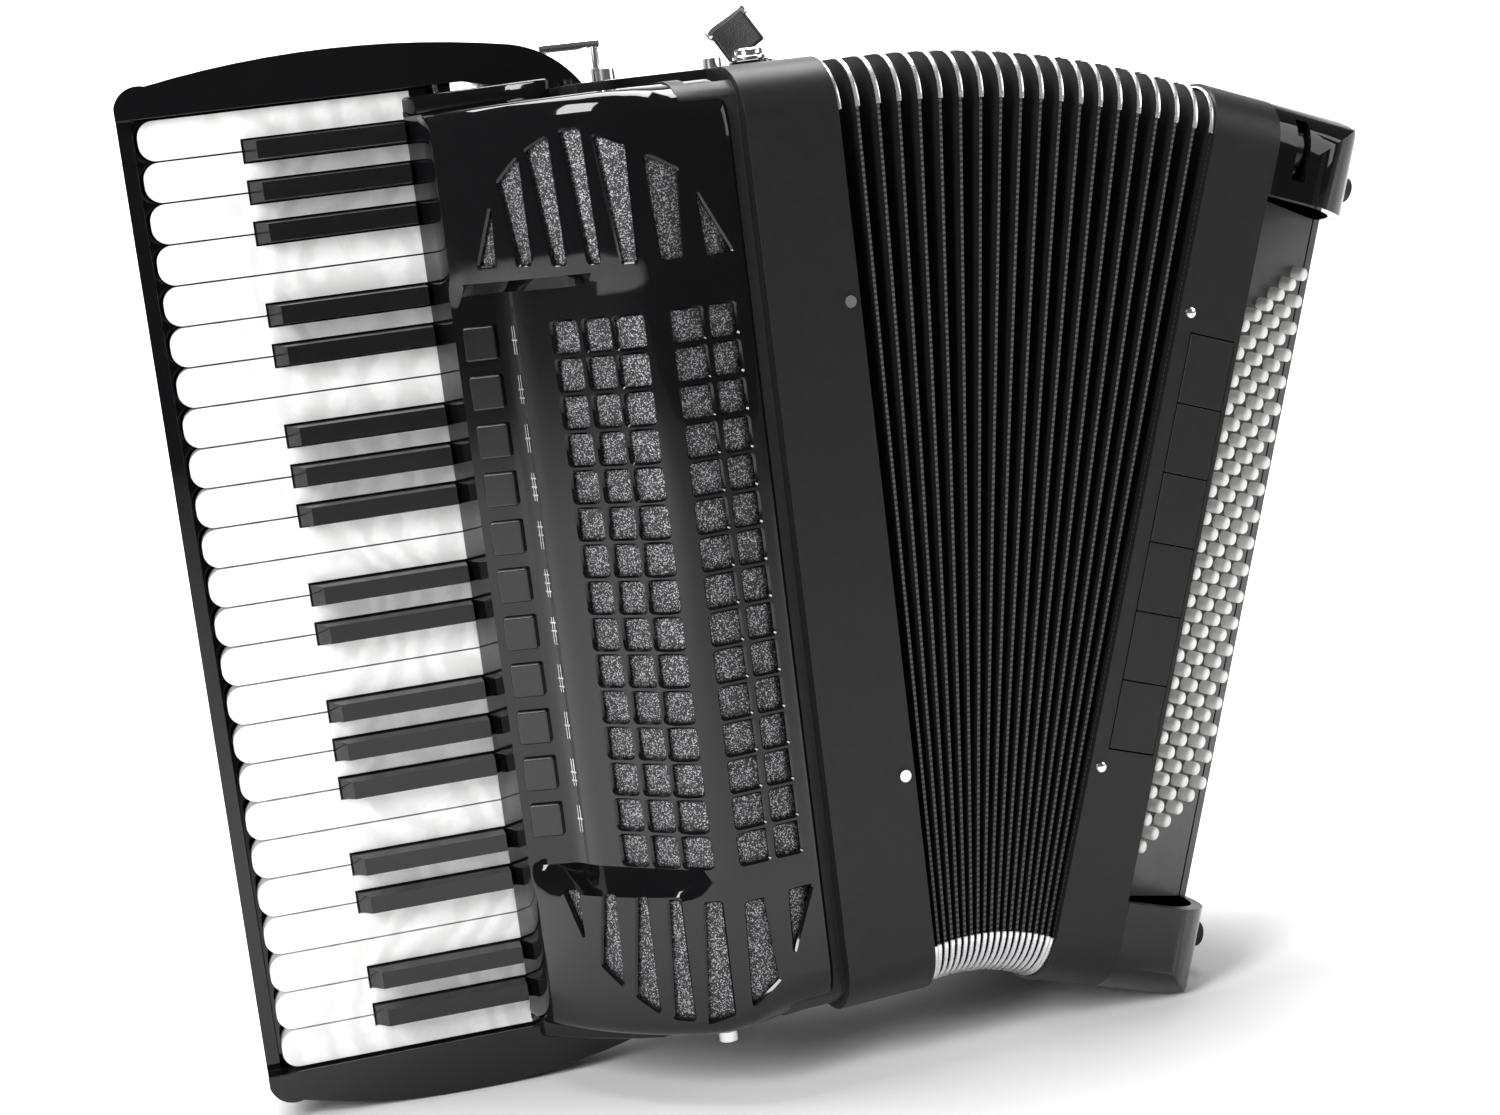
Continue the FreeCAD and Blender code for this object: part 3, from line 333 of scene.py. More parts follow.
for node in sorted(name for name in frame["nodes"] if name.startswith("key_") and name != "key_axle"):
    body = frame["nodes"][node]["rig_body"]
    if "s" in node.split("_")[2]:
        eased(node, body, ebony, 0.0007, segments=3)
    else:
        eased(node, body, pearl, 0.0008, segments=3)

# ------------------------------------------------------------------ grille
# A pressed cover of mirror black celluloid over the treble case's open bay. It rises from the
# keys to a crest, sinks in a pocket for the register tabs, and is pierced by rows of square
# windows with an arch of slots at both ends. Two thumbscrews hold it.
pocket_low, pocket_high, pocket_lip = 84, 382, 8
slope_foot, shelf_top, shelf_end, skirt_end = (-150, 62), (-156, 76), (-178, 88), (-181, 113)


def between(x, a, b):
    """The height at x of the straight line through two points."""
    share = (x - a[0]) / (b[0] - a[0])
    return a[1] + (b[1] - a[1]) * share


def pocket_face(x):
    """Depth of the grille's face beside the register tabs."""
    for a, b in (((-54, 3.2), (-96, 3)), ((-96, 3), (-110, 8)), ((-110, 8), slope_foot),
                 (slope_foot, shelf_top), (shelf_top, shelf_end), (shelf_end, skirt_end)):
        if x >= b[0]:
            return between(x, a, b)
    return skirt_end[1]


def swollen_face(x):
    """Depth of its face at the ends, where it swells over the pocket's place."""
    if x >= -104:
        return pocket_face(x)
    if x <= -178:
        return between(x, (-178, 86), skirt_end)
    start, pull, end = Vector((-104, 5)), Vector((-147, 26)), Vector((-178, 86))
    low, high = 0.0, 1.0
    for _ in range(24):
        t = (low + high) / 2
        at = start * (1 - t) ** 2 + pull * 2 * t * (1 - t) + end * t * t
        low, high = (t, high) if at.x > x else (low, t)
    return at.y


def smooth(value):
    """A rise from 0 to 1 that starts and ends level."""
    value = min(max(value, 0.0), 1.0)
    return value * value * (3 - 2 * value)


def grille_face(x, z):
    """Depth of the cover's face, with its crest and the pocket's foot rolled over."""
    swell = smooth((pocket_low - z) / pocket_lip + 0.5) + smooth((z - pocket_high) / pocket_lip + 0.5)
    roll = 1.5 + 5.5 * smooth((18 - abs(x + 108)) / 14)
    near = [pocket_face(x)]
    if -175 < x < -70:
        near = [pocket_face(x + dx * roll) for dx in (-1, -0.5, 0, 0.5, 1)]
    here = sum(near) / len(near)
    return here + (swollen_face(x) - here) * swell


def end_round(x):
    """Radius of the turn from the face to the top or bottom of the cover."""
    return 24 - 15 * smooth((-70 - x) / 50)


def cap_back(x):
    """How far back the cover's top and bottom reach."""
    if x > -115.5:
        return 41
    return between(x, (-115.5, 60), (-172, 98)) if x > -172 else between(x, (-172, 98), (-181, 116))


cap_gap = 5.0
band_edge, band_roll, band_lip, cover_wall = -58.5, 4.6, 7, 0.0026
columns = [-54, -54.6, -56, band_edge, -62, -68, -75, -82, -89]
columns += [-95, -98, -101, -104, -107, -110, -113, -116, -120]
columns += [-124, -128, -132, -136, -140, -144, -147, -149, -151, -153, -155, -157, -160, -164, -168]
columns += [-172, -175, -177, -178, -179, -180, -180.6, -181]
turns = (0, 8, 20, 32, 45, 60, 75, 90)
rows = [(0, a) for a in turns]
rows += [(z, None) for z in range(30, 443, 6)]
rows += [(1, a) for a in reversed(turns)]
bm = bmesh.new()
line = [bm.verts.new((0, 0, 0)) for _ in range(len(columns) + 1)]
edges = [bm.edges.new((a, b)) for a, b in zip(line, line[1:])]
grid = [line]
for _ in range(len(rows) + 1):
    grown = bmesh.ops.extrude_edge_only(bm, edges=edges)["geom"]
    edges = [e for e in grown
             if isinstance(e, bmesh.types.BMEdge) and all(v not in grid[-1] for v in e.verts)]
    follow = {}
    for e in bm.edges:
        a, b = e.verts
        if a in grid[-1] and b not in grid[-1] and (len(grid) < 2 or b not in grid[-2]):
            follow[a] = b
        elif b in grid[-1] and a not in grid[-1] and (len(grid) < 2 or a not in grid[-2]):
            follow[b] = a
    grid.append([follow[v] for v in grid[-1]])
for j, line in enumerate(grid):
    for i, vert in enumerate(line):
        x = columns[max(i - 1, 0)]
        turn = end_round(x)
        if j in (0, len(grid) - 1):
            z = cap_gap if j == 0 else case_height - cap_gap
            y = cap_back(x)
        else:
            end, value = rows[j - 1]
            if value is None:
                z = end
                y = grille_face(x, z)
            else:
                z = turn - turn * cos(radians(value))
                y = grille_face(x, z) + turn * (1 - sin(radians(value)))
                z += cap_gap
                if end:
                    y = grille_face(x, case_height - z) + turn * (1 - sin(radians(value)))
                    z = case_height - z
        if x > band_edge - 0.1:
            y += 3.2 * (1 - sqrt(max(0.0, 1 - ((x - band_edge) / band_roll) ** 2)))
        if i == 0:
            y += band_lip
        vert.co = treble(x, y, z)
bmesh.ops.recalc_face_normals(bm, faces=bm.faces)
front_face = min(bm.faces, key=lambda f: (f.calc_center_median() - treble(-85, 3, 234)).length)
if front_face.normal.y > 0:
    bmesh.ops.reverse_faces(bm, faces=bm.faces)
cover = piece("grille_shell", bm, None, lacquer, angle=40)
wall = cover.modifiers.new("wall", "SOLIDIFY")
wall.thickness, wall.offset = cover_wall, -1


def punch(bm, outline, flare=1.0):
    """A punch through the cover for an outline of (x, z) points, flared to leave a bevelled rim."""
    spots = [treble(x, grille_face(x, z), z) for x, z in outline]
    centre = sum(spots, Vector()) / len(spots)
    out = Vector()
    for a, b in zip(spots, spots[1:] + spots[:1]):
        out += (a - centre).cross(b - centre)
    out.normalize()
    if out.y > 0:
        out = -out
    sides = []
    for i, spot in enumerate(spots):
        run = (spot - spots[i - 1]).normalized() + (spots[(i + 1) % len(spots)] - spot).normalized()
        sides.append(run.normalized().cross(out))
    if sum(side.dot(spot - centre) for side, spot in zip(sides, spots)) < 0:
        sides = [-side for side in sides]
    loops = [[bm.verts.new(spot + (out * depth + side * grow) * 0.001) for spot, side in zip(spots, sides)]
             for depth, grow in ((-11.0, 0.0), (-flare, 0.0), (2.5, 2.5 + flare))]
    bm.faces.new(loops[0])
    bm.faces.new(loops[-1])
    for a, b in zip(loops, loops[1:]):
        rim = [bm.edges.get((u, v)) or bm.edges.new((u, v))
               for loop in (a, b) for u, v in zip(loop, loop[1:] + loop[:1])]
        bmesh.ops.bridge_loops(bm, edges=rim)


def softened(corners, radius, steps=3):
    """The polygon's corners rounded off."""
    result = []
    count = len(corners)
    for i, corner in enumerate(corners):
        here = Vector(corner)
        before = (Vector(corners[i - 1]) - here).normalized()
        after = (Vector(corners[(i + 1) % count]) - here).normalized()
        for step in range(steps + 1):
            t = step / steps
            result.append(here + before * radius * (1 - t) ** 2 + after * radius * t * t)
    return result


def face_axes(x, z):
    """Origin on the cover's face, with its directions along the profile, up and out."""
    a, b = treble(x + 1, grille_face(x + 1, z), z), treble(x - 1, grille_face(x - 1, z), z)
    right = (a - b).normalized()
    out = treble_up.cross(right).normalized()
    if out.y > 0:
        out = -out
    return treble(x, grille_face(x, z), z), right, treble_up, out


bm = bmesh.new()
window_rows, window_tall, window_pitch, window_middle, window_round = 15, 15.0, 18.25, 226.5, 1.5
for row in range(window_rows):
    z, h = window_middle + (row - (window_rows - 1) // 2) * window_pitch, window_tall / 2
    for x, half in ((-114.0, 5.4), (-125.4, 4.4), (-136.4, 4.3), (-88.5, 7.6), (-70.4, 6.5)):
        corners = [(x - half, z - h), (x + half, z - h), (x + half, z + h), (x - half, z + h)]
        punch(bm, softened(corners, window_round))
arches = [[(-167.5, 392), (-162, 392), (-161, 419)],
          [(-153.6, 391), (-149.3, 391), (-149.2, 441), (-157, 431)],
          [(-141, 389), (-136.6, 389), (-137.5, 449), (-145.8, 444)],
          [(-127.6, 388), (-123.4, 388), (-124.8, 451), (-132.2, 451)],
          [(-114.6, 387), (-108.6, 387), (-107.5, 441), (-119.5, 447)],
          [(-97, 386), (-86.5, 386), (-84.2, 427), (-99.2, 435)],
          [(-74, 385), (-61.8, 386), (-76, 415)],
          [(-168, 80), (-163, 80), (-163, 56)],
          [(-154, 79), (-150, 79), (-151, 32), (-157.8, 42)],
          [(-141.4, 78), (-138, 78), (-138.6, 19), (-146.5, 27)],
          [(-129.2, 76), (-124.8, 76), (-125, 15), (-133, 16)],
          [(-114.4, 74), (-107.6, 74), (-108, 17), (-119.5, 13)],
          [(-96.4, 72), (-86.5, 72), (-83.5, 30), (-98.5, 20)],
          [(-72.6, 73), (-60.6, 73), (-74, 42)]]
for outline in arches:
    punch(bm, softened(outline, 1.0))
bmesh.ops.recalc_face_normals(bm, faces=bm.faces)
punches = piece("grille_punches", bm, None)
pierce = cover.modifiers.new("openings", "BOOLEAN")
pierce.object, pierce.operation, pierce.solver = punches, "DIFFERENCE", "EXACT"
bpy.context.view_layer.update()
graph = bpy.context.evaluated_depsgraph_get()
pierced = bpy.data.meshes.new_from_object(cover.evaluated_get(graph))
bm = bmesh.new()
bm.from_mesh(pierced)
bmesh.ops.remove_doubles(bm, verts=bm.verts, dist=1e-6)
bmesh.ops.dissolve_degenerate(bm, edges=bm.edges, dist=1e-6)
bpy.data.objects.remove(punches)
bpy.data.objects.remove(cover)
cover = piece("grille", bm, "treble", lacquer, angle=32)
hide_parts("grille_cover")

# ------------------------------------------------------------------ glitter cloth
# Dark cloth woven with silver thread, glued to the back of the grille behind its openings.
# It keeps dust out of the action and lets the sound through.
glitter, shader, add, link = material("glitter_cloth", (0.03, 0.03, 0.032), 0.5)
place = add("ShaderNodeTexCoord")
flecks = add("ShaderNodeTexVoronoi", [("Vector", place.outputs["Object"])], Scale=2100.0)
random = add("ShaderNodeSeparateColor", [("Color", flecks.outputs["Color"])])
bright = add("ShaderNodeMapRange", [("Value", random.outputs[0])])
bright.inputs["From Min"].default_value = 0.70
bright.inputs["From Max"].default_value = 0.95
factor, colour = tinted(add, (0.010, 0.010, 0.011), (0.55, 0.55, 0.57))
link(bright.outputs["Result"], factor)
link(colour, shader.inputs["Base Color"])
link(bright.outputs["Result"], shader.inputs["Metallic"])
bumped(add, link, shader, random.outputs[1], 0.6, 0.0003)
bm = bmesh.new()
cloth_behind, cloth_low, cloth_high, cloth_step = 3.6, 12, 460, 6
line = [bm.verts.new((x, 0, 0)) for x in columns[4:35]]
edges = [bm.edges.new((a, b)) for a, b in zip(line, line[1:])]
for index, z in enumerate(range(cloth_low, cloth_high, cloth_step)):
    if index:
        edges = [e for e in bmesh.ops.extrude_edge_only(bm, edges=edges)["geom"]
                 if isinstance(e, bmesh.types.BMEdge)]
        edges = [e for e in edges if len(e.link_faces) == 1]
    for vert in {v for e in edges for v in e.verts}:
        vert.co.y, vert.co.z = 0, z
    edges = [e for e in edges if abs(e.verts[0].co.z - e.verts[1].co.z) < 0.1]
for vert in bm.verts:
    x, z = vert.co.x, vert.co.z
    turn = end_round(x)
    near = min(z, case_height - z) - cap_gap
    back = turn - sqrt(max(0.0, turn ** 2 - (turn - near) ** 2)) if near < turn else 0
    steep = grille_face(x - 0.5, z) - grille_face(x + 0.5, z)
    slant = sqrt(1 + steep ** 2)
    vert.co = treble(x + cloth_behind * steep / slant, grille_face(x, z) + back + cloth_behind / slant, z)
bmesh.ops.recalc_face_normals(bm, faces=bm.faces)
cloth = piece("glitter_cloth_sheet", bm, "treble", glitter)
cloth_wall = cloth.modifiers.new("thickness", "SOLIDIFY")
cloth_wall.thickness, cloth_wall.offset = 0.0005, 0
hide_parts("grille_mesh")

# ------------------------------------------------------------------ treble registers
# Eleven black tabs in the grille's pocket that change the sounding reeds. Each is a moulded
# switch with a bright mark beside it.
tab_black = covering("register_black", (0.006, 0.006, 0.006), (0.010, 0.010, 0.010),
                     0.14, 0.24, 300, 0.03)[0]
eased("treble_registers", "treble_register_set", tab_black, 0.0012, segments=3)
silver, shader, add, link = material("bright_silver", (0.80, 0.80, 0.82), 0.22, metallic=1.0)
marks = mottled(add, 700, 0.16, 0.30)
link(marks.outputs["Value"], shader.inputs["Roughness"])
bm = bmesh.new()
register_count, register_pitch, register_middle, mark_line = 11, 24.1, 234, -153.4
for number in range(register_count):
    z = register_middle + (number - register_count // 2) * register_pitch
    origin, right, up_, out = face_axes(mark_line, z)
    axes = Matrix((right, up_, out)).transposed().to_4x4()
    bars = [(-0.8, 0, 0.5, 14.0), (0.8, 0, 0.5, 14.0)]
    bars += [(0, (k - 1) * 4.2, 4.0, 0.7) for k in range(3) if (number >> k) % 2 or k == 1]
    for px, pz, wide, tall in bars:
        bar = bmesh.ops.create_cube(bm, size=0.001)["verts"]
        bmesh.ops.scale(bm, verts=bar, vec=(wide, tall, 0.5))
        bmesh.ops.translate(bm, verts=bar, vec=(px * 0.001, pz * 0.001, 0.0002))
        bmesh.ops.transform(bm, verts=bar, matrix=Matrix.Translation(origin) @ axes)
piece("register_marks", bm, "treble", silver)

# ------------------------------------------------------------------ bellows
# Eighteen pleats of card faced with black cloth, folded like a fan. Zigzag braid covers each
# ridge and kid gussets close the corners. The frames at both ends are pinned to the cases.
card, card_shader = covering("bellows_cloth", (0.0025, 0.0025, 0.0025), (0.006, 0.006, 0.006),
                             0.5, 0.7, 1500, 0.3)
card_shader.inputs["Specular IOR Level"].default_value = 0.25
braid, shader, add, link = material("ridge_braid", (0.03, 0.03, 0.03), 0.45)
place = add("ShaderNodeTexCoord")
zigzag = add("ShaderNodeTexWave", [("Vector", place.outputs["Object"])], wave_type="BANDS",
             bands_direction="Z", Scale=118.0, Distortion=1.2)
factor, colour = tinted(add, (0.006, 0.006, 0.006), (0.070, 0.070, 0.072))
link(zigzag.outputs["Fac"], factor)
link(colour, shader.inputs["Base Color"])
bumped(add, link, shader, zigzag.outputs["Fac"], 1.0, 0.0006)
folds = 19
front_round, rear_round = 27, 17
ridge_inset, ridge_half, valley_inset, valley_half, card_wall = 3.0, 0.75, 25.0, 0.35, 1.6


def bellows_outline(inset, steps=7):
    """The rounded outline of the bellows on one plane, as (y, z) points in order."""
    spots = []
    for cy, cz, start, radius in ((0, 0, 180, front_round), (1, 0, 270, rear_round),
                                  (1, 1, 0, rear_round), (0, 1, 90, front_round)):
        r = max(radius - inset, 5)
        y = case_depth - inset - r if cy else inset + r
        z = case_height - inset - r if cz else inset + r
        for k in range(steps):
            angle = radians(start + 90 * k / (steps - 1))
            spots.append((y + r * cos(angle), z + r * sin(angle)))
    return spots


pleats = []
for fold in range(folds + 1):
    ends = (0.2 if fold == 0 else -ridge_half, -0.2 if fold == folds else ridge_half)
    pleats += [(fold / folds, dx, ridge_inset, 1) for dx in ends]
    if fold < folds:
        pleats += [((fold + 0.5) / folds, dx, valley_inset, 0) for dx in (-valley_half, valley_half)]
pleats += [(share, dx * 0.4, inset + card_wall, 0) for share, dx, inset, _ in reversed(pleats)]
bm = bmesh.new()
share_layer = bm.verts.layers.float.new("share")
loops = []
for share, dx, inset, _ in pleats:
    loop = []
    for y, z in bellows_outline(inset):
        vert = bm.verts.new(fanned(share, dx, y, z))
        vert[share_layer] = share
        loop.append(vert)
    loops.append(loop)
rims = [[bm.edges.new((u, v)) for u, v in zip(loop, loop[1:] + loop[:1])] for loop in loops]
for here, there in zip(range(len(loops)), list(range(1, len(loops))) + [0]):
    before = set(bm.faces)
    bmesh.ops.bridge_loops(bm, edges=rims[here] + rims[there])
    ridge = pleats[here][3] and pleats[there][3] and pleats[here][0] == pleats[there][0]
    for face in set(bm.faces) - before:
        face.material_index = 1 if ridge else 0
bmesh.ops.recalc_face_normals(bm, faces=bm.faces)


def fan_blend(made):
    """Reads the share attribute, bakes the bellows piece's transform into its mesh and removes the attribute;
    each point already stands where the fan puts it by its share.
    """
    shares = [0.0] * len(made.data.vertices)
    made.data.attributes["share"].data.foreach_get("value", shares)
    middle = (0, case_depth / 2, case_height / 2)
    fanned(1, *middle)
    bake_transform(made)
    made.data.attributes.remove(made.data.attributes["share"])


pleated = piece("bellows_pleats", bm, None, card, braid, angle=25)
fan_blend(pleated)
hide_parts("bellows_folds")

# ------------------------------------------------------------------ bellows corners
# Bright metal strips bent round the corner of every ridge and crimped on, four to a ridge,
# with one more at each frame. They take the wear when the bellows close.
corner_metal, shader, add, link = material("corner_metal", (0.86, 0.86, 0.87), 0.26, metallic=0.85)
brushed = mottled(add, 1200, 0.2, 0.36)
link(brushed.outputs["Value"], shader.inputs["Roughness"])
bm = bmesh.new()
share_layer = bm.verts.layers.float.new("share")
strip_turn = 24.4
strip_face, turn_top = front_round - strip_turn, case_height - front_round
path = [(strip_face, turn_top + 3), (strip_face, turn_top)]
path += [(front_round - strip_turn * cos(radians(a)), turn_top + strip_turn * sin(radians(a)))
         for a in range(10, 91, 10)]
path += [(34, turn_top + strip_turn), (41, turn_top + strip_turn)]
section = [(-1.15, 0.0), (-0.9, 0.75), (0, 1.0), (0.9, 0.75), (1.15, 0.0)]
template = [bm.verts.new((x, path[0][0] - out, path[0][1])) for x, out in section]
edges = [bm.edges.new((a, b)) for a, b in zip(template, template[1:] + template[:1])]
bm.faces.new(template)
for index in range(1, len(path)):
    a, b = Vector(path[index - 1]), Vector(path[min(index + 1, len(path) - 1)])
    along = (b - a).normalized()
    outwards = Vector((-along.y, along.x))
    grown = bmesh.ops.extrude_edge_only(bm, edges=edges)["geom"]
    verts = [v for v in grown if isinstance(v, bmesh.types.BMVert)]
    edges = [e for e in grown if isinstance(e, bmesh.types.BMEdge)
             and e.verts[0] in verts and e.verts[1] in verts]
    verts.sort(key=lambda v: (round(v.co.x, 4)))
    for vert, (x, out) in zip(verts, section):
        spot = Vector(path[index]) + outwards * out
        vert.co = (x, spot.x, spot.y)
bmesh.ops.holes_fill(bm, edges=edges)
template = list(bm.verts) + list(bm.edges) + list(bm.faces)
for ridge in range(folds + 1):
    share = ridge / folds
    lean = 1.3 if ridge == 0 else -1.3 if ridge == folds else 0
    for y_side in (0, 1):
        for z_side in (0, 1):
            copied = bmesh.ops.duplicate(bm, geom=template)["geom"]
            for vert in (g for g in copied if isinstance(g, bmesh.types.BMVert)):
                x, y, z = vert.co
                vert.co = fanned(share, x + lean, case_depth - y if y_side else y,
                                 z if z_side else case_height - z)
                vert[share_layer] = share
bmesh.ops.delete(bm, geom=[g for g in template if isinstance(g, bmesh.types.BMVert)], context="VERTS")
bmesh.ops.recalc_face_normals(bm, faces=bm.faces)
strips = piece("bellows_corner_strips", bm, None, corner_metal, angle=40)
fan_blend(strips)
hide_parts("bellows_corners")

# ------------------------------------------------------------------ chrome fittings
# Turned and bent brass, chrome plated: two thumbscrews, the loop that a shoulder strap
# hooks to, its studs, and the pins that hold the bellows frames.
chrome, shader, add, link = material("chrome_plate", (0.90, 0.90, 0.92), 0.16, metallic=1.0)
haze = mottled(add, 160, 0.12, 0.24)
link(haze.outputs["Value"], shader.inputs["Roughness"])
eased("treble_fittings", "treble", chrome, 0.0003)

# ------------------------------------------------------------------ strap tab
# A short black leather tab in a chrome frame, on a turned chrome disc over a black washer.
# It holds the end of the shoulder strap to the top of the treble case.
leather, shader, add, link = material("strap_leather", (0.014, 0.013, 0.013), 0.5)
place = add("ShaderNodeTexCoord")
cells = add("ShaderNodeTexVoronoi", [("Vector", place.outputs["Object"])],
            Scale=700.0, feature="DISTANCE_TO_EDGE")
tone = mottled(add, 200, 0.0, 1.0)
factor, colour = tinted(add, (0.010, 0.010, 0.010), (0.026, 0.025, 0.025))
link(tone.outputs["Value"], factor)
link(colour, shader.inputs["Base Color"])
bumped(add, link, shader, cells.outputs["Distance"], 0.5, 0.0004)


def turned(name, spots, at, finish, count=40, axis=None, body="treble"):
    """A turned piece from a (radius, height) outline in millimetres, on an axis at a place."""
    axis = axis or treble_up
    bm = bmesh.new()
    start = [bm.verts.new((r * 0.001, 0, h * 0.001)) for r, h in spots]
    line = [bm.edges.new((a, b)) for a, b in zip(start, start[1:])]
    bmesh.ops.spin(bm, geom=start + line, cent=(0, 0, 0), axis=(0, 0, 1), angle=2 * pi, steps=count,
                   use_merge=True)
    bmesh.ops.remove_doubles(bm, verts=bm.verts, dist=1e-6)
    bmesh.ops.recalc_face_normals(bm, faces=bm.faces)
    stand = Matrix.Translation(at) @ axis.to_track_quat("Z", "Y").to_matrix().to_4x4()
    bmesh.ops.transform(bm, verts=bm.verts, matrix=stand)
    return piece(name, bm, body, finish, angle=30)


tab_foot = treble(-14, 70, case_height)
turned("tab_washer", [(0, 0), (9.5, 0), (10, 0.5), (10, 2.0), (9.5, 2.5), (0, 2.5)], tab_foot, lacquer)
turned("tab_disc", [(0, 2.5), (8, 2.5), (8.4, 3), (8.4, 4.2), (7.6, 5), (7.2, 6), (7.4, 7.5), (6.6, 8.2),
                    (0, 8.2)], tab_foot, chrome)
tab_run = (treble_up * 0.84 - treble_across * 0.42 + Vector((0, 0.30, 0))).normalized()
tab_side = treble_across * 0.9 - Vector((0, 0.42, 0))
tab_side = (tab_side - tab_run * tab_side.dot(tab_run)).normalized()
tab_out = tab_run.cross(tab_side).normalized()
for name, long, wide, thick, lift, finish in (("tab_leather", 19, 20, 4.5, 0, leather),
                                             ("tab_frame", 5, 23, 6.0, 15.5, chrome)):
    bm = bmesh.new()
    bmesh.ops.create_grid(bm, x_segments=6, y_segments=6, size=0.5)
    shape = Matrix((tab_side * wide * 0.001, tab_run * long * 0.001, tab_out * 0.001)).transposed().to_4x4()
    for vert in bm.verts:
        vert.co.z = 0.9 * (1 - (2 * vert.co.x) ** 2)
    bmesh.ops.transform(bm, verts=bm.verts, matrix=Matrix.Translation(
        tab_foot + treble_up * 0.007 + tab_run * (lift + long / 2) * 0.001) @ shape)
    bmesh.ops.solidify(bm, geom=list(bm.faces), thickness=thick * 0.001)
    bmesh.ops.recalc_face_normals(bm, faces=bm.faces)
    made = piece(name, bm, "treble", finish)
    ease = made.modifiers.new("eased edges", "BEVEL")
    ease.width, ease.segments, ease.limit_method = 0.0013, 3, "ANGLE"

# ------------------------------------------------------------------ back pad
# A soft pad in black woven mesh on the back of the treble case, against the player's chest.
# It is laced on, stands a little above the case and reaches behind the bellows.
weave, shader, add, link = material("woven_mesh", (0.02, 0.02, 0.02), 0.8)
place = add("ShaderNodeTexCoord")
threads = [add("ShaderNodeTexWave", [("Vector", place.outputs["Object"])], bands_direction=way, Scale=110.0)
           for way in ("X", "Z")]
woven = add("ShaderNodeMath", [(0, threads[0].outputs["Fac"]), (1, threads[1].outputs["Fac"])],
            operation="MULTIPLY")
factor, colour = tinted(add, (0.006, 0.006, 0.006), (0.10, 0.10, 0.10))
link(woven.outputs[0], factor)
link(colour, shader.inputs["Base Color"])
shader.inputs["Sheen Weight"].default_value = 0.15
bumped(add, link, shader, woven.outputs[0], 0.8, 0.0008)
bm = bmesh.new()
bmesh.ops.create_cube(bm, size=1.0)
pad_low, pad_high = (-144, 190.4, 66), (46, 196.5, 475)
for vert in bm.verts:
    vert.co = treble(*[low if c < 0 else high for low, high, c in zip(pad_low, pad_high, vert.co)])
bmesh.ops.bevel(bm, geom=[e for e in bm.edges if abs((e.verts[0].co - e.verts[1].co).normalized().y) > 0.9],
                offset=0.02, segments=6, profile=0.5, affect="EDGES", material=-1)
bmesh.ops.bevel(bm, geom=[e for e in bm.edges if len(e.link_faces) == 2 and e.calc_face_angle(0) > 1.0],
                offset=0.0026, segments=4, profile=0.5, affect="EDGES", material=-1)
pad = piece("back_pad", bm, "treble", weave, angle=50)

# ------------------------------------------------------------------ bass case
# The left-hand half is a lighter box with rounded ends and a slanting board for the bass
# buttons, covered in the same satin black celluloid.
board_dark = covering("button_board", (0.030, 0.030, 0.031), (0.040, 0.040, 0.041), 0.4, 0.5, 900, 0.08)[0]
gloss_from, gloss_low, gloss_high = 39.0, 50.0, 422.0
bass_foot = fanned(1, 0, 0, 0)
bass_up = bass_across.cross(Vector((0, 1, 0)))
board_out = -Vector(joint["bass_buttons_press"]["axis"])


def bass_spot(point):
    """A point given across and up the bass case, in millimetres."""
    away = (point - bass_foot) * 1000
    return away.dot(bass_across), away.dot(bass_up)


def bass_finishes(bm):
    """Gives the button board a lighter satin, and the two moulded outer corners a polish."""
    for across, up_ in ((gloss_from, None), (None, gloss_low), (None, gloss_high)):
        at = bass_foot + (bass_across * across if across else bass_up * up_) * 0.001
        bmesh.ops.bisect_plane(bm, geom=list(bm.verts) + list(bm.edges) + list(bm.faces), plane_co=at,
                               plane_no=bass_across if across else bass_up, dist=1e-6)
    for face in bm.faces:
        across, up_ = bass_spot(face.calc_center_median())
        if face.normal.dot(board_out) > 0.999:
            face.material_index = 1
        elif across > gloss_from and not gloss_low < up_ < gloss_high:
            face.material_index = 2


eased("bass_case", "bass", satin, 0.0006, prepare=bass_finishes,
      others=(board_dark, lacquer))
eased("bass_end_plate", "bass", satin, 0.0006, prepare=bass_finishes,
      others=(board_dark, lacquer))
for across, high in ((6, 354), (6, 118)):
    spot = fanned(1, across, 0, high)
    turned("bass_pin_%d" % high, [(0, 1.9), (1.6, 1.7), (2.6, 1.2), (3.0, 0.4), (3.0, -0.4), (0, -0.4)],
           spot, chrome, count=20, axis=Vector((0, -1, 0)), body="bass")

# ------------------------------------------------------------------ bass buttons
# Six rows of twenty white plastic buttons with rounded tops, each on a stem through
# the slanting board to the bass mechanism.
ivory, shader, add, link = material("button_white", (0.80, 0.80, 0.78), 0.25, coat=0.3)
tone = mottled(add, 420, 0.0, 1.0)
factor, colour = tinted(add, (0.76, 0.76, 0.74), (0.86, 0.86, 0.84))
link(tone.outputs["Value"], factor)
link(colour, shader.inputs["Base Color"])
eased("bass_buttons", "bass_button_set", ivory, 0)

# ------------------------------------------------------------------ bass registers
# Six flat satin black panels let into the front of the bass case. Pressing one changes
# the bass reeds.
eased("bass_registers", "bass_register_set", satin, 0.0005)

# ------------------------------------------------------------------ air button, strap wheel
# The round chrome air button comes out of the end plate under the player's thumb. The ribbed
# wheel in the top corner draws the hand strap tight on its screw.
eased("air_button", "air_plunger", chrome, 0.0005)
eased("strap_wheel", "strap_adjuster", ebony, 0.0004)

# ------------------------------------------------------------------ feet
# Four turned black rubber feet screwed to the end plate, on which the instrument stands
# when it is put down on its bass side.
rubber = covering("black_rubber", (0.008, 0.008, 0.008), (0.014, 0.014, 0.014), 0.6, 0.8, 900, 0.2)[0]
eased("bass_feet", "bass", rubber, 0.0009, segments=3)

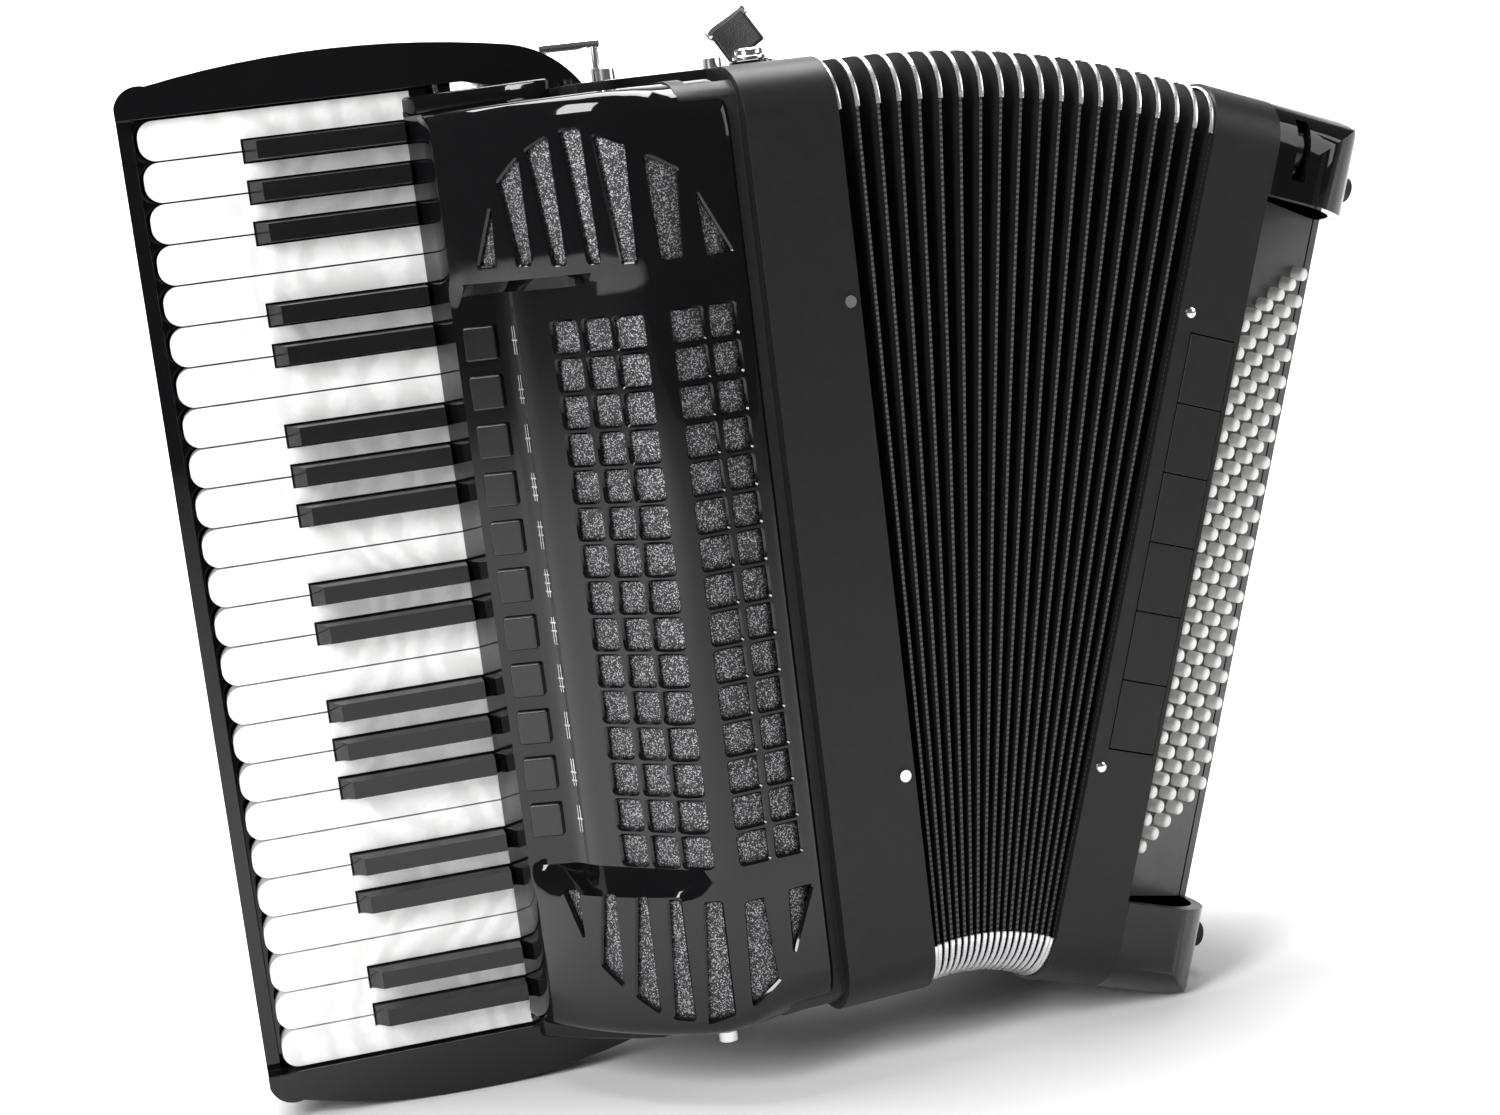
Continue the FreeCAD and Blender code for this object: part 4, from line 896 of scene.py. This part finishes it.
# ------------------------------------------------------------------ hand strap
# A wide band of grained black leather, backed with felt and stitched along both edges.
# The player's left hand goes under it. It is screwed down at the bottom and drawn up by the wheel.
strap_corners = [bass_spot(vert.co) + (vert.co.y,) for vert in frame["nodes"]["bass_strap"].data.vertices]
strap_in, strap_out = min(c[0] for c in strap_corners), max(c[0] for c in strap_corners)
strap_low, strap_high = min(c[1] for c in strap_corners), max(c[1] for c in strap_corners)
strap_front = min(c[2] for c in strap_corners) * 1000 + case_depth / 2
strap_back = max(c[2] for c in strap_corners) * 1000 + case_depth / 2
leather_thick, rise_length, flat_end, crown_rise, waist_depth = 3.0, 46.0, 0.15, 0.9, 2.5


def strap_face(share, side):
    """The strap's outer face, by shares of its length and of its width, in millimetres."""
    high = strap_low + (strap_high - strap_low) * share
    ends = min(high - strap_low, strap_high - high) / rise_length
    lift = 0.5 - 0.5 * cos(pi * min(1.0, max(0.0, ends - flat_end)))
    crown = crown_rise * (1 - (2 * side - 1) ** 2) - crown_rise
    waist = waist_depth * lift * (1 - 2 * side)
    across = strap_in + leather_thick + (strap_out - strap_in - leather_thick) * lift + crown * lift
    return fanned(1, across, strap_front + (strap_back - strap_front) * side + waist, high)


bm = bmesh.new()
runs, sides = 96, 12
net = [[bm.verts.new(strap_face(run / runs, side / sides)) for side in range(sides + 1)]
       for run in range(runs + 1)]
for run in range(runs):
    for side in range(sides):
        bm.faces.new((net[run][side], net[run][side + 1], net[run + 1][side + 1], net[run + 1][side]))
bmesh.ops.recalc_face_normals(bm, faces=bm.faces)
if bm.faces[0].normal.dot(bass_across) < 0:
    bmesh.ops.reverse_faces(bm, faces=bm.faces)
strap = piece("hand_strap_leather", bm, "bass", leather)
strap_wall = strap.modifiers.new("thickness", "SOLIDIFY")
strap_wall.thickness, strap_wall.offset = leather_thick * 0.0009, -1
ease = strap.modifiers.new("eased edges", "BEVEL")
ease.width, ease.segments, ease.limit_method, ease.angle_limit = 0.0010, 3, "ANGLE", radians(50)
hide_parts("bass_strap")

thread = covering("waxed_thread", (0.05, 0.048, 0.045), (0.09, 0.085, 0.08), 0.5, 0.7, 2500, 0.2)[0]
bm = bmesh.new()
stitches, stitch_share, thread_radius, seam_margin = 84, 0.6, 0.0004, 4.0
seam = seam_margin / (strap_back - strap_front)
for side in (seam, 1 - seam):
    for stitch in range(2, stitches - 1):
        here, there = strap_face(stitch / stitches, side), strap_face((stitch + stitch_share) / stitches, side)
        along = (there - here).normalized()
        turn = Matrix((along.cross(Vector((0, 1, 0))), Vector((0, 1, 0)), along)).transposed().to_4x4()
        scale = Matrix.Diagonal((thread_radius, thread_radius, (there - here).length / 2, 1))
        bmesh.ops.create_icosphere(bm, subdivisions=1, radius=1.0,
                                   matrix=Matrix.Translation((here + there) / 2) @ turn @ scale)
piece("hand_strap_stitching", bm, "bass", thread, angle=180)

# ------------------------------------------------------------------ floor, light and camera
# A pale sweep of paper with soft lamps over it, and the camera at the player's upper left.
bm = bmesh.new()
sweep = [(-3.0, 0.0), (1.6, 0.0), (2.2, 0.06), (2.7, 0.3), (3.0, 0.8), (3.1, 1.6), (3.1, 4.5)]
line = [bm.verts.new((-7, y, z - 0.0005)) for y, z in sweep]
edges = [bm.edges.new((a, b)) for a, b in zip(line, line[1:])]
grown = bmesh.ops.extrude_edge_only(bm, edges=edges)["geom"]
bmesh.ops.translate(bm, verts=[v for v in grown if isinstance(v, bmesh.types.BMVert)], vec=(14, 0, 0))
bmesh.ops.recalc_face_normals(bm, faces=bm.faces)
paper, shader, add, link = material("white_paper", (0.86, 0.86, 0.86), 0.9, specular=0.1)
floor = piece("floor_sweep", bm, None, paper, angle=80)


def lamp(name, place, towards, width, height, power):
    data = bpy.data.lights.new(name, "AREA")
    data.shape, data.size, data.size_y, data.energy = "RECTANGLE", width, height, power
    made = bpy.data.objects.new(name, data)
    made.location = place
    made.rotation_euler = (Vector(towards) - Vector(place)).to_track_quat("-Z", "Y").to_euler()
    bpy.context.scene.collection.objects.link(made)
    return made


lamp("key_lamp", (-1.9, -1.2, 1.5), (-0.1, 0, 0.25), 0.7, 1.5, 62)
lamp("top_lamp", (0.0, 0.3, 2.1), (0, 0, 0.3), 1.7, 0.8, 55)
lamp("right_lamp", (1.8, -1.1, 1.2), (0.1, 0, 0.25), 1.2, 1.4, 14)
lamp("paper_lamp", (0.3, 1.2, 2.6), (0.3, 2.9, 0.9), 4.0, 1.0, 190)
world = bpy.data.worlds.new("studio")
world.use_nodes = True
world.node_tree.nodes["Background"].inputs["Color"].default_value = (1, 1, 1, 1)
world.node_tree.nodes["Background"].inputs["Strength"].default_value = 0.10
bpy.context.scene.world = world
bpy.context.scene.view_settings.view_transform = "Standard"

camera_data = bpy.data.cameras.new("camera")
camera_data.lens, camera_data.sensor_width, camera_data.sensor_fit = 62.4, 36, "HORIZONTAL"
camera = bpy.data.objects.new("camera", camera_data)
right, up_, back = (0.92, -0.37885, -0.1004), (0.15154, 0.10761, 0.98258), (-0.36144, -0.91918, 0.15641)
camera.matrix_world = (Matrix.Translation((-0.51908, -1.23766, 0.46607))
                       @ Matrix((right, up_, back)).transposed().to_4x4())
bpy.context.scene.collection.objects.link(camera)
bpy.context.scene.camera = camera
